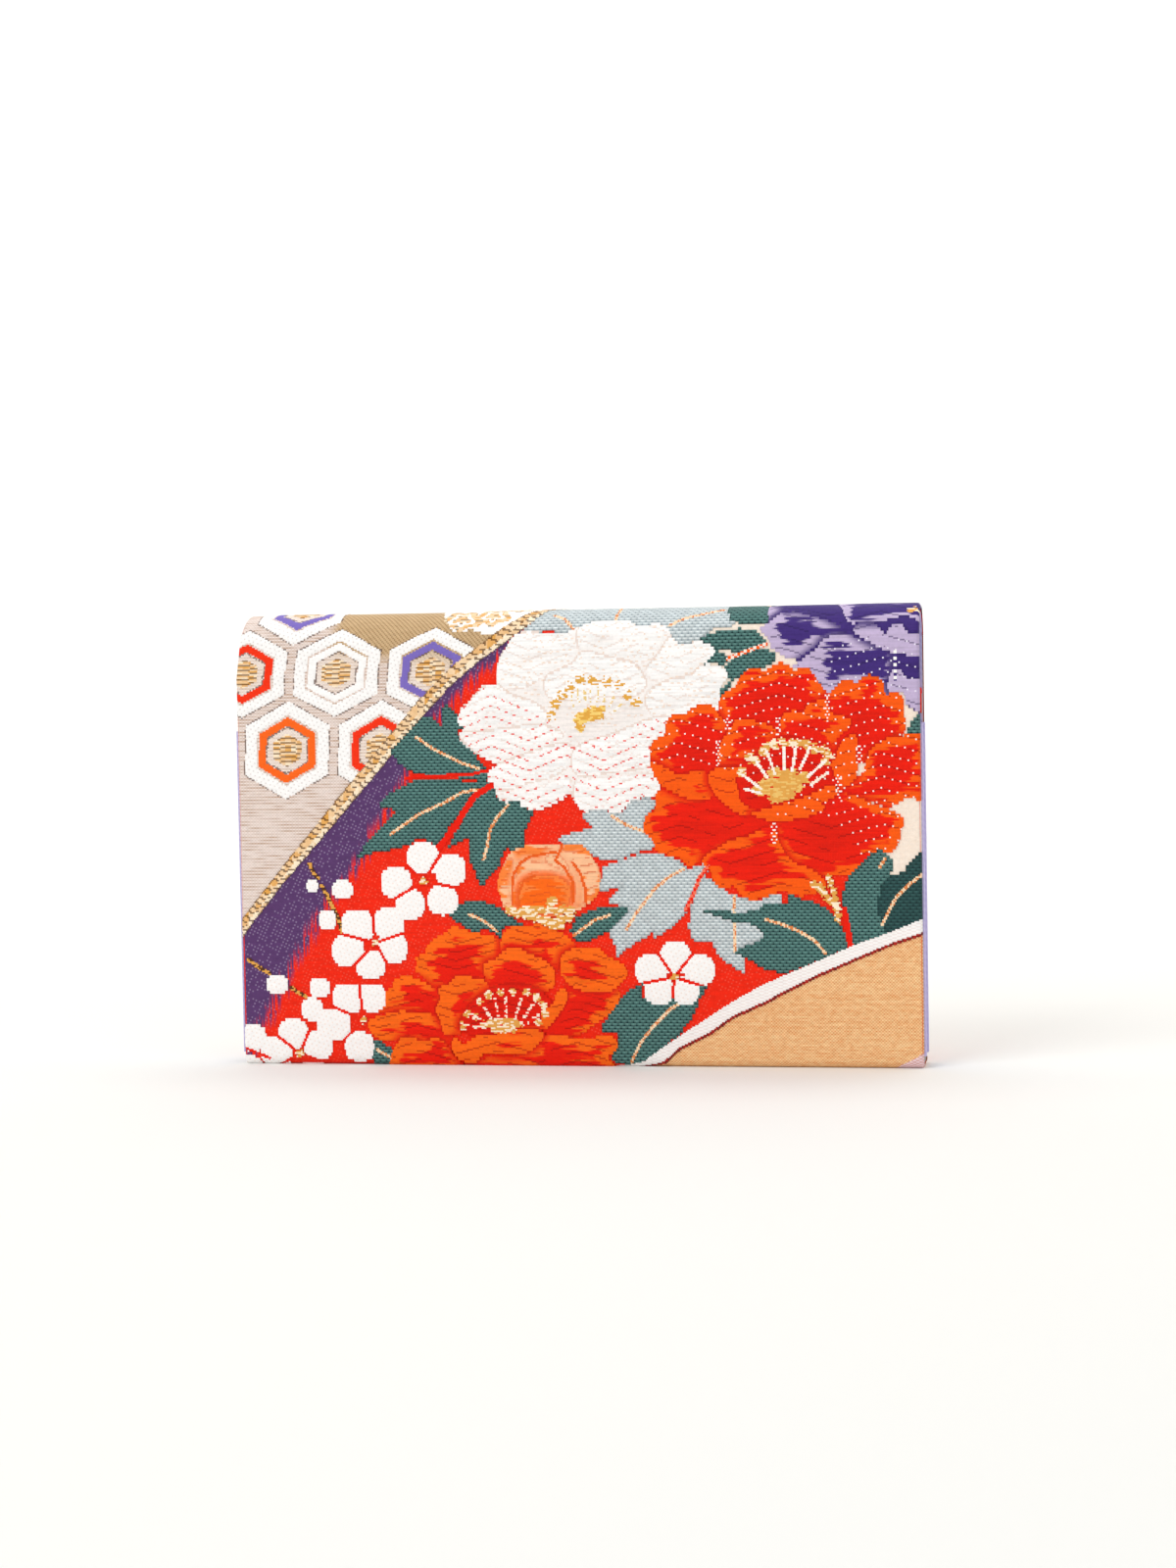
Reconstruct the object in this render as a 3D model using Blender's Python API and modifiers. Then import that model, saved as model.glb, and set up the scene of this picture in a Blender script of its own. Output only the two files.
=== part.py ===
"""Envelope clutch bag in woven brocade, standing upright on its flat base.

One strip of brocade makes the pocket panel, the base, the back panel and the round fold at the top,
and goes on as the flap, which closes over the pocket panel. Each panel is brocade, board and lining.
Units are metres, +Z is up, the back panel faces -Y, the flap faces +Y, and the origin is the middle
of the base.
"""

import math

import bmesh
import bpy

# Overall size
WIDTH = 0.220
HEIGHT = 0.145
DEPTH = 0.022

# Cloth, board and the clearance that every pair of touching pieces keeps
BROCADE = 0.0009
BOARD = 0.0015
LINING = 0.0005
GAP = 0.0003

# The woven figure stands this far out from the ground cloth
FIGURE_HEIGHT = 0.0012

# Its outlines are drawn in millimetres on a panel of this size, and its reliefs are shares of its height
DRAWN_WIDTH = 220
DRAWN_HEIGHT = 145
FIGURE_SIDE_MARGIN = 0.0003
PLATE_SHARE = 0.45
LOW_RELIEF_SHARE = 0.65
MIDDLE_RELIEF_SHARE = 0.82

# Edges of the strip
MOUTH_HEIGHT = 0.119
FLAP_HEM_HEIGHT = 0.031
HEM_TURNING = 0.006
BACK_CORNER_RADIUS = 0.0030
POCKET_CORNER_RADIUS = 0.0020
FLAP_CLEARANCE = 0.0005
FOLD_GAP_ANGLE = math.radians(1.5)
ARC_STEP_ANGLE = math.radians(12)

# The left end of the fold is drawn in a little
FOLD_DRAW_IN = 0.0032
DRAW_IN_FROM_HEIGHT = 0.125

# Side gussets, whose edges stand a little proud of the panels
GUSSET_CLOTH = 0.0006
GUSSET_PROUD = 0.0006
GUSSET_FOLD_IN = 0.0066
GUSSET_TOP = 0.108

# Magnets that hold the flap down, sealed in the boards
MAGNET_RADIUS = 0.007
MAGNET_THICKNESS = 0.0012
MAGNET_HEIGHT = 0.045
CIRCLE_SIDES = 32

# Slip pocket inside
SLIP_POCKET_WIDTH = 0.150
SLIP_POCKET_TOP = 0.100
SLIP_POCKET_BOTTOM = 0.012
SLIP_POCKET_CLOTH = 0.0005

# Places that follow from the sizes
PANEL = BROCADE + GAP + BOARD + GAP + LINING
HEM_RADIUS = (BROCADE + GAP + BOARD + GAP + BROCADE) / 2
LINING_DEPTH = PANEL - LINING
BOARD_DEPTH = BROCADE + GAP
FOLD_RADIUS = DEPTH / 2 - FIGURE_HEIGHT
FOLD_CENTRE_HEIGHT = HEIGHT - FOLD_RADIUS
BACK_Y = -FOLD_RADIUS
FLAP_Y = FOLD_RADIUS
POCKET_Y = FLAP_Y - 2 * HEM_RADIUS - FLAP_CLEARANCE
BACK_LINING_Y = BACK_Y + PANEL
POCKET_LINING_Y = POCKET_Y - PANEL
RIGHT = WIDTH / 2
BOARD_INSET = GUSSET_CLOTH - GUSSET_PROUD + GAP

RED = (0.86, 0.03, 0.01, 1.0)
LAVENDER = (0.58, 0.51, 0.79, 1.0)
GREYBOARD = (0.40, 0.37, 0.32, 1.0)
STEEL = (0.55, 0.55, 0.56, 1.0)
WHITE = (0.95, 0.93, 0.92, 1.0)
ORANGE_RED = (0.95, 0.14, 0.02, 1.0)
PURPLE = (0.12, 0.06, 0.17, 1.0)
TEAL = (0.06, 0.19, 0.18, 1.0)
PALE_BLUE = (0.48, 0.58, 0.60, 1.0)
GOLD = (0.72, 0.42, 0.09, 1.0)
TAN = (0.76, 0.40, 0.18, 1.0)

# Straight-edged fields of the figure, in millimetres from the middle of the panel's foot
CORD_LINE = [(-13, 145), (-30, 132), (-50, 113.5), (-68.7, 92.5), (-90, 69), (-102, 56), (-112, 43)]
CORD_HALF_WIDTH = 2.4
CORD_FLOATS = 30
BAND_LINE = [(-61, 101), (-68.7, 92.5), (-90, 69), (-102, 56), (-112, 43)]
BAND_EDGE = [(-58, 95), (-67, 80), (-77, 62), (-89, 38), (-100, 20), (-112, 6)]
BAND_FRINGE = 5
BAND_FRINGES_PER_SPAN = 4
ARC_LINE = [(19, -2), (34, 9), (50, 18.5), (75, 30.8), (100, 41), (112, 45.5)]
ARC_HALF_WIDTH = 1.7
CREAM_FIELD = [(104.8, 78), (104.5, 64), (112, 68.5), (112, 84.5), (106.5, 84)]

# Hexagons: centres, and the size of each ring as a share of the whole
HEXAGONS = [(-107.2, 126.5), (-76.7, 126.5), (-92.2, 101.8), (-62, 101.8)]
HEXAGON_HALF_WIDTH = 14.2
HEXAGON_HALF_HEIGHT = 16.3
HEXAGON_RINGS = (0.95, 0.71, 0.64, 0.47, 0.30)

# Peonies: centre, reach across and up, lobes, and colour
PEONIES = {
    "peony_purple": ((101, 136), (39, 22), 9, "purple_silk"),
    "peony_white": ((4, 111), (41, 30), 13, "white_silk"),
    "peony_red_right": ((67, 91), (42, 36), 12, "red_silk"),
    "peony_red_left": ((-27, 17), (42, 28.5), 12, "red_silk"),
    "peony_bud": ((-8.5, 59), (16, 12), 7, "red_silk"),
}
PEONY_TIERS = (0.72, 0.46, 0.2)
LOBE_STEPS = 5
LOBE_BITE = 0.09

# Leaves: base, tip and half width
LEAVES = {
    "leaf_pale_low": ((27, 76), (-4, 73), 5.5, "pale_silk"),
    "leaf_pale_middle": ((34, 60), (13, 36), 8.5, "pale_silk"),
    "leaf_pale_right": ((46, 58), (54, 30), 7.5, "pale_silk"),
    "leaf_upper_left": ((-27, 96), (-52, 108), 6.5, "teal_silk"),
    "leaf_left": ((-30, 88), (-69, 70), 8.5, "teal_silk"),
    "leaf_lower_left": ((-21, 85), (-31, 59), 7.5, "teal_silk"),
    "leaf_by_bud_left": ((-24, 45), (-41, 50), 4.2, "teal_silk"),
    "leaf_by_bud_right": ((1, 42), (17, 50.5), 4.0, "teal_silk"),
    "leaf_foot": ((14, 3), (41, 26), 7.5, "teal_silk"),
    "leaf_top": ((63, 131), (44, 128), 4.2, "teal_silk"),
    "leaf_right_long": ((86, 41), (50, 46.5), 7.5, "teal_silk"),
    "leaf_right_up": ((92, 42), (97, 66), 5.5, "teal_silk"),
    "leaf_right_edge": ((101, 46), (112, 66), 6.5, "teal_silk"),
}
LEAF_STEPS = 12
LEAF_NOTCHES = 3
LEAF_NOTCH_DEPTH = 0.22
VEIN_HALF_WIDTH = 0.6
VEIN_SPAN = (0.12, 0.85)

# Plum blossoms: centre and reach; their buds: centre, reach across and up
PLUMS = {
    "plum_upper": ((-49.2, 59.3), 12.5),
    "plum_middle": ((-66.5, 39.5), 13),
    "plum_foot_left": ((-92, 8), 12),
    "plum_foot": ((-75, 16), 9.5),
    "plum_right": ((31.5, 30), 11.5),
}
PLUM_BUDS = {
    "plum_bud_1": ((-76, 56.8), (3.5, 3)),
    "plum_bud_2": ((-81.2, 47), (2.7, 3.2)),
    "plum_bud_3": ((-98.5, 26), (3.7, 2.9)),
    "plum_bud_4": ((-86.5, 25.5), (3.2, 3.0)),
}
FLAP_PLUMS = {
    "flap_plum_1": ((84, 110), 13),
    "flap_plum_2": ((97, 83), 11),
    "flap_plum_3": ((58, 122), 9),
}
PLUM_STEPS = 8
PLUM_WAIST = 0.4


def remove_everything():
    for old in list(bpy.data.objects):
        bpy.data.objects.remove(old)


def make_collection(name, hidden=False):
    collection = bpy.data.collections.new(name)
    collection.hide_render = hidden
    bpy.context.scene.collection.children.link(collection)
    return collection


def material(name, colour, roughness, metallic=0.0):
    made = bpy.data.materials.new(name)
    made.use_nodes = True
    shader = made.node_tree.nodes["Principled BSDF"]
    shader.inputs["Base Color"].default_value = colour
    shader.inputs["Roughness"].default_value = roughness
    shader.inputs["Metallic"].default_value = metallic
    made.diffuse_color = colour
    return made


def left_edge(height):
    """Where the left side of back panel and flap lies: straight, then drawn in towards the fold."""
    share = (height - DRAW_IN_FROM_HEIGHT) / (HEIGHT - DRAW_IN_FROM_HEIGHT)
    return -WIDTH / 2 + FOLD_DRAW_IN * min(max(share, 0.0), 1.0)


def trace(start, heading, moves, depth):
    """Points (y, z) of a strip's section, seen from +X with Y to the right.

    Each move is ("run", length) or ("turn", radius, angle), and every turn is to the right. Depth is
    how far inside the outer surface the line lies, on the right of the direction of travel.
    """
    y = start[0] + depth * math.sin(heading)
    z = start[1] - depth * math.cos(heading)
    points = [(y, z)]
    for move in moves:
        if move[0] == "run":
            y += move[1] * math.cos(heading)
            z += move[1] * math.sin(heading)
            points.append((y, z))
            continue
        radius = move[1] - depth
        centre = (y + radius * math.sin(heading), z - radius * math.cos(heading))
        steps = max(2, round(move[2] / ARC_STEP_ANGLE))
        for step in range(1, steps + 1):
            turned = heading - move[2] * step / steps
            y = centre[0] - radius * math.sin(turned)
            z = centre[1] + radius * math.cos(turned)
            points.append((y, z))
        heading -= move[2]
    return points


def split_run(points, height):
    """Adds a point where the section first crosses a height, so that the outline can bend there."""
    for index in range(len(points) - 1):
        (y0, z0), (y1, z1) = points[index], points[index + 1]
        if min(z0, z1) < height < max(z0, z1):
            share = (height - z0) / (z1 - z0)
            middle = (y0 + share * (y1 - y0), height)
            return points[: index + 1] + [middle] + points[index + 1 :]
    return points


def strip(name, section, left, right, thickness, finish, collection):
    """A strip of cloth: its outer surface spans left to right along the section, then it gets thickness."""
    rows = len(section)
    verts = [(left(z), y, z) for y, z in section] + [(right(z), y, z) for y, z in section]
    faces = [(row, row + rows, row + rows + 1, row + 1) for row in range(rows - 1)]
    mesh = bpy.data.meshes.new(name)
    mesh.from_pydata(verts, [], faces)
    mesh.materials.append(finish)
    obj = bpy.data.objects.new(name, mesh)
    collection.objects.link(obj)
    solidify = obj.modifiers.new("thickness", "SOLIDIFY")
    solidify.thickness = thickness
    solidify.offset = -1
    solidify.use_even_offset = True
    mesh.shade_smooth()
    mesh.set_sharp_from_angle(angle=math.radians(30))
    return obj


def upright_plate(name, outline, front_y, back_y, finish, collection, more_outlines=()):
    """A flat piece in the XZ plane: a closed outline with the thickness between two Y values.

    An outline inside another is a hole in it, and one inside that hole is filled again.
    """
    curve = bpy.data.curves.new(name, "CURVE")
    curve.dimensions = "2D"
    curve.fill_mode = "BOTH"
    curve.extrude = (back_y - front_y) / 2
    for points in (outline, *more_outlines):
        spline = curve.splines.new("POLY")
        spline.points.add(len(points) - 1)
        for point, (x, z) in zip(spline.points, points):
            point.co = (x, z, 0, 1)
        spline.use_cyclic_u = True
    drawn = bpy.data.objects.new(name, curve)
    collection.objects.link(drawn)
    drawn.location = (0, (front_y + back_y) / 2, 0)
    drawn.rotation_euler = (math.radians(90), 0, 0)
    return as_mesh(drawn, name, finish, collection)


def as_mesh(drawn, name, finish, collection):
    """The filled curve as a closed mesh under its own name."""
    bpy.context.view_layer.update()
    graph = bpy.context.evaluated_depsgraph_get()
    mesh = bpy.data.meshes.new_from_object(drawn.evaluated_get(graph))
    body = bmesh.new()
    body.from_mesh(mesh)
    bmesh.ops.remove_doubles(body, verts=body.verts, dist=1e-6)
    body.to_mesh(mesh)
    body.free()
    mesh.materials.clear()
    mesh.materials.append(finish)
    matrix = drawn.matrix_world.copy()
    bpy.data.objects.remove(drawn)
    obj = bpy.data.objects.new(name, mesh)
    obj.matrix_world = matrix
    collection.objects.link(obj)
    return obj


def disc(name, x, y, z, radius, thickness, finish, collection):
    """A flat round piece whose axis runs along Y."""
    bpy.ops.mesh.primitive_cylinder_add(
        vertices=CIRCLE_SIDES,
        radius=radius,
        depth=thickness,
        location=(x, y, z),
        rotation=(math.radians(90), 0, 0),
    )
    obj = bpy.context.active_object
    obj.name = name
    obj.data.name = name
    for owner in list(obj.users_collection):
        owner.objects.unlink(obj)
    collection.objects.link(obj)
    if finish is not None:
        obj.data.materials.append(finish)
    return obj


def cut_round_seat(board, y, height, cutters):
    """A round hole through a board, where its magnet lies."""
    cutter = disc(board.name + "_seat", 0, y, height, MAGNET_RADIUS + GAP, 4 * BOARD, None, cutters)
    cutter.hide_render = True
    cutter.display_type = "WIRE"
    hole = board.modifiers.new("magnet_seat", "BOOLEAN")
    hole.operation = "DIFFERENCE"
    hole.object = cutter


def body_section(depth):
    """Section of the strip from the turned hem of the pocket panel to the top of the fold."""
    moves = [
        ("run", HEM_TURNING),
        ("turn", HEM_RADIUS, math.pi),
        ("run", MOUTH_HEIGHT - HEM_RADIUS - POCKET_CORNER_RADIUS),
        ("turn", POCKET_CORNER_RADIUS, math.pi / 2),
        ("run", POCKET_Y - POCKET_CORNER_RADIUS - BACK_Y - BACK_CORNER_RADIUS),
        ("turn", BACK_CORNER_RADIUS, math.pi / 2),
        ("run", FOLD_CENTRE_HEIGHT - BACK_CORNER_RADIUS),
        ("turn", FOLD_RADIUS, math.pi / 2 - FOLD_GAP_ANGLE),
    ]
    start = (POCKET_Y - 2 * HEM_RADIUS, MOUTH_HEIGHT - HEM_RADIUS - HEM_TURNING)
    return trace(start, math.pi / 2, moves, depth)


def body_lining_section():
    """Section of the lining, on the side that faces the boards, from the hem turning to the fold."""
    top = MOUTH_HEIGHT - HEM_RADIUS - HEM_TURNING - GAP
    outer_y = POCKET_Y - LINING_DEPTH
    inner_radius = FOLD_RADIUS - LINING_DEPTH
    moves = [
        ("run", top - LINING_DEPTH),
        ("turn", 0, math.pi / 2),
        ("run", outer_y - BACK_Y - LINING_DEPTH),
        ("turn", 0, math.pi / 2),
        ("run", FOLD_CENTRE_HEIGHT - LINING_DEPTH),
        ("turn", inner_radius, math.pi / 2 - FOLD_GAP_ANGLE),
    ]
    return without_repeats(trace((outer_y, top), -math.pi / 2, moves, 0))


def without_repeats(points):
    kept = points[:1]
    for point in points[1:]:
        if math.dist(point, kept[-1]) > GAP / 10:
            kept.append(point)
    return kept


def flap_section(depth, lower_moves):
    """Section of a flap layer from the top of the fold down the far side."""
    angle = FOLD_GAP_ANGLE
    start = (
        FOLD_RADIUS * math.sin(angle),
        FOLD_CENTRE_HEIGHT + FOLD_RADIUS * math.cos(angle),
    )
    moves = [("turn", FOLD_RADIUS, math.pi / 2 - angle)] + lower_moves
    return trace(start, -angle, moves, depth)


def gusset(name, side, finish, collection):
    """Side gusset: lips over the panels' edges and two leaves folded inwards, as a plan section raised up."""
    lip_x = RIGHT + GUSSET_PROUD
    back_edge_y = BACK_Y + BROCADE + GAP
    pocket_edge_y = POCKET_Y - BROCADE - GAP
    leaf_back_y = BACK_LINING_Y + GUSSET_CLOTH + GAP
    leaf_pocket_y = POCKET_LINING_Y - GUSSET_CLOTH - GAP
    fold = (RIGHT - GUSSET_FOLD_IN, (leaf_back_y + leaf_pocket_y) / 2)
    plan = [
        (lip_x, back_edge_y),
        (lip_x, leaf_back_y),
        fold,
        (lip_x, leaf_pocket_y),
        (lip_x, pocket_edge_y),
    ]
    foot = PANEL + GAP
    verts = [(side * x, y, z) for z in (foot, GUSSET_TOP) for x, y in plan]
    count = len(plan)
    faces = [(i, i + 1, i + 1 + count, i + count) for i in range(count - 1)]
    if side < 0:
        faces = [tuple(reversed(face)) for face in faces]
    mesh = bpy.data.meshes.new(name)
    mesh.from_pydata(verts, [], faces)
    mesh.materials.append(finish)
    obj = bpy.data.objects.new(name, mesh)
    collection.objects.link(obj)
    solidify = obj.modifiers.new("thickness", "SOLIDIFY")
    solidify.thickness = GUSSET_CLOTH
    solidify.offset = -1
    solidify.use_even_offset = True
    return obj


def panel_outline(bottom, top, inset):
    """Outline of a board, inset from the panel's sides and drawn in where the panel is."""
    points = [(RIGHT - inset, bottom), (RIGHT - inset, top), (left_edge(top) + inset, top)]
    if bottom < DRAW_IN_FROM_HEIGHT < top:
        points.append((left_edge(DRAW_IN_FROM_HEIGHT) + inset, DRAW_IN_FROM_HEIGHT))
    points.append((left_edge(bottom) + inset, bottom))
    return points


def placed(points):
    """Drawn millimetres turned into places on the panel."""
    return [(x * WIDTH / DRAWN_WIDTH, z * HEIGHT / DRAWN_HEIGHT) for x, z in points]


def scalloped(centre, reach, lobes, scale=1.0):
    """Outline of a flower head: an ellipse with round lobes and a small bite between each two."""
    points = []
    for step in range(lobes * LOBE_STEPS):
        angle = math.tau * step / (lobes * LOBE_STEPS)
        size = scale * (1 - LOBE_BITE * (1 - abs(math.sin(lobes * angle / 2))))
        points.append((centre[0] + reach[0] * size * math.cos(angle), centre[1] + reach[1] * size * math.sin(angle)))
    return points


def rosette(centre, reach, scale=1.0):
    """Outline of a plum blossom: five round petals that meet at a narrow waist."""
    points = []
    for step in range(5 * PLUM_STEPS):
        angle = math.tau * (step / (5 * PLUM_STEPS) + 0.25)
        size = PLUM_WAIST + (1 - PLUM_WAIST) * abs(math.cos(2.5 * (angle - math.tau / 4))) ** 0.6
        points.append((centre[0] + scale * reach * size * math.cos(angle), centre[1] + scale * reach * size * math.sin(angle)))
    return points


def round_outline(centre, reach):
    steps = [math.tau * step / 12 for step in range(12)]
    return [(centre[0] + reach[0] * math.cos(angle), centre[1] + reach[1] * math.sin(angle)) for angle in steps]


def along(base, tip, share, aside):
    """The point a share of the way from base to tip and so far aside, to the left."""
    dx, dz = tip[0] - base[0], tip[1] - base[1]
    length = math.hypot(dx, dz)
    return (base[0] + share * dx - aside * dz / length, base[1] + share * dz + aside * dx / length)


def leaf_outline(base, tip, half_width):
    """A leaf whose sides swell and step back in at each notch."""
    left, right = [], []
    for step in range(1, LEAF_STEPS):
        share = step / LEAF_STEPS
        tooth = (share * LEAF_NOTCHES) % 1
        width = half_width * math.sin(math.pi * share**0.8) ** 0.7 * (1 - LEAF_NOTCH_DEPTH * tooth)
        right.append(along(base, tip, share, -width))
        left.append(along(base, tip, share, width))
    return [base] + right + [tip] + left[::-1]


def vein_outline(base, tip):
    root, end = (along(base, tip, share, 0) for share in VEIN_SPAN)
    return [along(root, end, 0, VEIN_HALF_WIDTH), along(root, end, 0, -VEIN_HALF_WIDTH), end]


def band_outline(line, half_width):
    """A band of even width along a line of points."""
    sides = ([], [])
    for index, point in enumerate(line):
        before, after = line[max(index - 1, 0)], line[min(index + 1, len(line) - 1)]
        for side, aside in zip(sides, (half_width, -half_width)):
            offset = along(before, after, 0, aside)
            side.append((point[0] + offset[0] - before[0], point[1] + offset[1] - before[1]))
    return sides[1] + sides[0][::-1]


def cord_floats():
    """Short level bars up the cord, one above the other like stairs."""
    bars = []
    rise = (CORD_LINE[0][1] - CORD_LINE[-1][1]) / CORD_FLOATS
    for number in range(1, CORD_FLOATS):
        height = CORD_LINE[-1][1] + rise * number
        middle = across_at(CORD_LINE, height)
        low, high = height - rise / 4, height + rise / 4
        reach = CORD_HALF_WIDTH * 0.9
        bars.append([(middle - reach, low), (middle + reach, low), (middle + reach, high), (middle - reach, high)])
    return bars


def across_at(line, height):
    """Where a line that goes down from its first point crosses a height."""
    for (x0, z0), (x1, z1) in zip(line, line[1:]):
        if z1 <= height <= z0:
            return x0 + (x1 - x0) * (z0 - height) / (z0 - z1)
    return line[-1][0]


def fringed_edge():
    """The edge where purple runs out into red: fringes as long as they are regular."""
    points = []
    for (x0, z0), (x1, z1) in zip(BAND_EDGE, BAND_EDGE[1:]):
        for number in range(BAND_FRINGES_PER_SPAN):
            for share, drop in ((0, BAND_FRINGE / 2), (0.5, -BAND_FRINGE / 2)):
                step = (number + share) / BAND_FRINGES_PER_SPAN
                points.append((x0 + (x1 - x0) * step, z0 + (z1 - z0) * step + drop))
    return points


def hexagon(centre, scale):
    corners = ((0, 1), (-1, 0.55), (-1, -0.55), (0, -1), (1, -0.55), (1, 0.55))
    return [
        (centre[0] + scale * HEXAGON_HALF_WIDTH * x, centre[1] + scale * HEXAGON_HALF_HEIGHT * z) for x, z in corners
    ]


def grown(outline, distance):
    """The outline moved outwards all round: each corner goes along the mean of its sides' normals."""
    area = sum(a[0] * b[1] - b[0] * a[1] for a, b in zip(outline, outline[1:] + outline[:1]))
    turn = 1 if area > 0 else -1
    moved = []
    for before, point, after in zip(outline[-1:] + outline[:-1], outline, outline[1:] + outline[:1]):
        normals = []
        for a, b in ((before, point), (point, after)):
            length = math.dist(a, b)
            normals.append((turn * (b[1] - a[1]) / length, -turn * (b[0] - a[0]) / length))
        total = (normals[0][0] + normals[1][0], normals[0][1] + normals[1][1])
        reach = max(total[0] * normals[0][0] + total[1] * normals[0][1], 0.5)
        moved.append((point[0] + distance * total[0] / reach, point[1] + distance * total[1] / reach))
    return moved


def figure_designs():
    """Every figure of the back panel from the lowest to the topmost: name, outline, reliefs and finish.

    A relief is a list of outlines and the share of the figure's height that it rises to.
    """
    cord = band_outline(CORD_LINE, CORD_HALF_WIDTH)
    arc = band_outline(ARC_LINE, ARC_HALF_WIDTH)
    field = CORD_LINE + [(-112, 150)]
    rings = [hexagon(centre, share) for centre in HEXAGONS for share in HEXAGON_RINGS]
    designs = [
        ("weave_hexagon_field", field, [(rings, LOW_RELIEF_SHARE)], "tan_silk"),
        ("weave_purple_band", BAND_LINE + fringed_edge()[::-1], [], "purple_silk"),
        ("weave_cord", cord, [(cord_floats(), MIDDLE_RELIEF_SHARE)], "gold_thread"),
        ("weave_tan_field", ARC_LINE + [(112, -4)], [], "tan_silk"),
        ("weave_arc", arc, [], "white_silk"),
        ("weave_cream_field", CREAM_FIELD, [], "white_silk"),
    ]
    leaves = {
        name: ("weave_" + name, leaf_outline(base, tip, wide), [([vein_outline(base, tip)], LOW_RELIEF_SHARE)], finish)
        for name, (base, tip, wide, finish) in LEAVES.items()
    }
    shares = (LOW_RELIEF_SHARE, MIDDLE_RELIEF_SHARE, 1.0)
    peonies = {
        name: (
            "weave_" + name,
            scalloped(centre, reach, lobes),
            [([scalloped(centre, reach, lobes - 3, tier)], share) for tier, share in zip(PEONY_TIERS, shares)],
            finish,
        )
        for name, (centre, reach, lobes, finish) in PEONIES.items()
    }
    over = ("leaf_lower_left", "leaf_right_long", "leaf_right_up", "leaf_right_edge")
    designs += [leaf for name, leaf in leaves.items() if name not in over]
    designs += [peonies["peony_purple"], peonies["peony_white"], leaves["leaf_lower_left"], peonies["peony_red_right"]]
    designs += [peonies["peony_red_left"], peonies["peony_bud"], *(leaves[name] for name in over[1:])]
    designs += [plum_design(name, centre, reach) for name, (centre, reach) in PLUMS.items()]
    designs += [("weave_" + name, round_outline(*bud), [], "white_silk") for name, bud in PLUM_BUDS.items()]
    return designs


def plum_design(name, centre, reach):
    heart = round_outline(centre, (reach / 6, reach / 6))
    return ("weave_" + name, rosette(centre, reach), [([heart], 1.0)], "white_silk")


def make_figures(designs, ground_y, outwards, clip, parts, cutters, finishes):
    """Raised figures on a panel. Each is cut by every later one that lies over it, with a gap between.

    Outwards is -1 on the back panel and +1 on the flap.
    """
    made = []
    foot = ground_y + outwards * GAP
    rise = FIGURE_HEIGHT - GAP
    far = outwards * 2 * FIGURE_HEIGHT
    for name, outline, reliefs, finish in designs:
        outline = placed(outline)
        top = foot + outwards * rise * PLATE_SHARE
        plate = upright_plate(name, outline, min(foot, top), max(foot, top), finishes[finish], parts)
        middle = (foot + top) / 2
        for number, (outlines, share) in enumerate(reliefs):
            crest = foot + outwards * rise * share
            drawn = [placed(one) for one in outlines]
            raised = upright_plate(
                f"{name}_relief_{number}", drawn[0], min(middle, crest), max(middle, crest), finishes[finish], cutters, drawn[1:]
            )
            if not all(inside_box(point, outline) for one in drawn for point in one):
                trim = upright_plate(raised.name + "_trim", grown(outline, -GAP), -abs(far) - DEPTH, DEPTH + abs(far), finishes[finish], cutters)
                combine(raised, trim, "INTERSECT")
            combine(plate, raised, "UNION")
        around = grown(outline, GAP)
        for lower, lower_outline in made:
            if boxes_meet(around, lower_outline):
                cutter = upright_plate(
                    f"{name}_over_{lower.name}", around, ground_y - abs(far), ground_y + abs(far), finishes[finish], cutters
                )
                combine(lower, cutter, "DIFFERENCE")
        made.append((plate, outline))
    for plate, outline in made:
        if not all(inside_box(point, clip) for point in outline):
            window = upright_plate(
                plate.name + "_window", clip, ground_y - abs(far), ground_y + abs(far), finishes["brocade"], cutters
            )
            combine(plate, window, "INTERSECT")


def combine(target, operand, operation):
    operand.hide_render = True
    operand.display_type = "WIRE"
    joined = target.modifiers.new(operand.name, "BOOLEAN")
    joined.operation = operation
    joined.solver = "EXACT"
    joined.object = operand


def boxes_meet(first, second):
    """True where the two outlines' bounding boxes overlap."""
    return all(
        min(p[axis] for p in first) < max(p[axis] for p in second)
        and min(p[axis] for p in second) < max(p[axis] for p in first)
        for axis in (0, 1)
    )


def inside_box(point, outline):
    """True inside the outline's upright rectangle, less the corner that is drawn in at the fold."""
    left = min(x for x, z in outline) + FOLD_DRAW_IN
    right = max(x for x, z in outline)
    return left < point[0] < right and min(z for x, z in outline) < point[1] < max(z for x, z in outline)


def flap_designs():
    """The cord and three blossoms on the flap, where the picture runs on."""
    line = [(118, 32), (90, 60), (60, 90), (30, 120), (12, 140)]
    cord = ("weave_flap_cord", band_outline(line, CORD_HALF_WIDTH), [], "gold_thread")
    return [cord] + [plum_design(name, centre, reach) for name, (centre, reach) in FLAP_PLUMS.items()]


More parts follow.
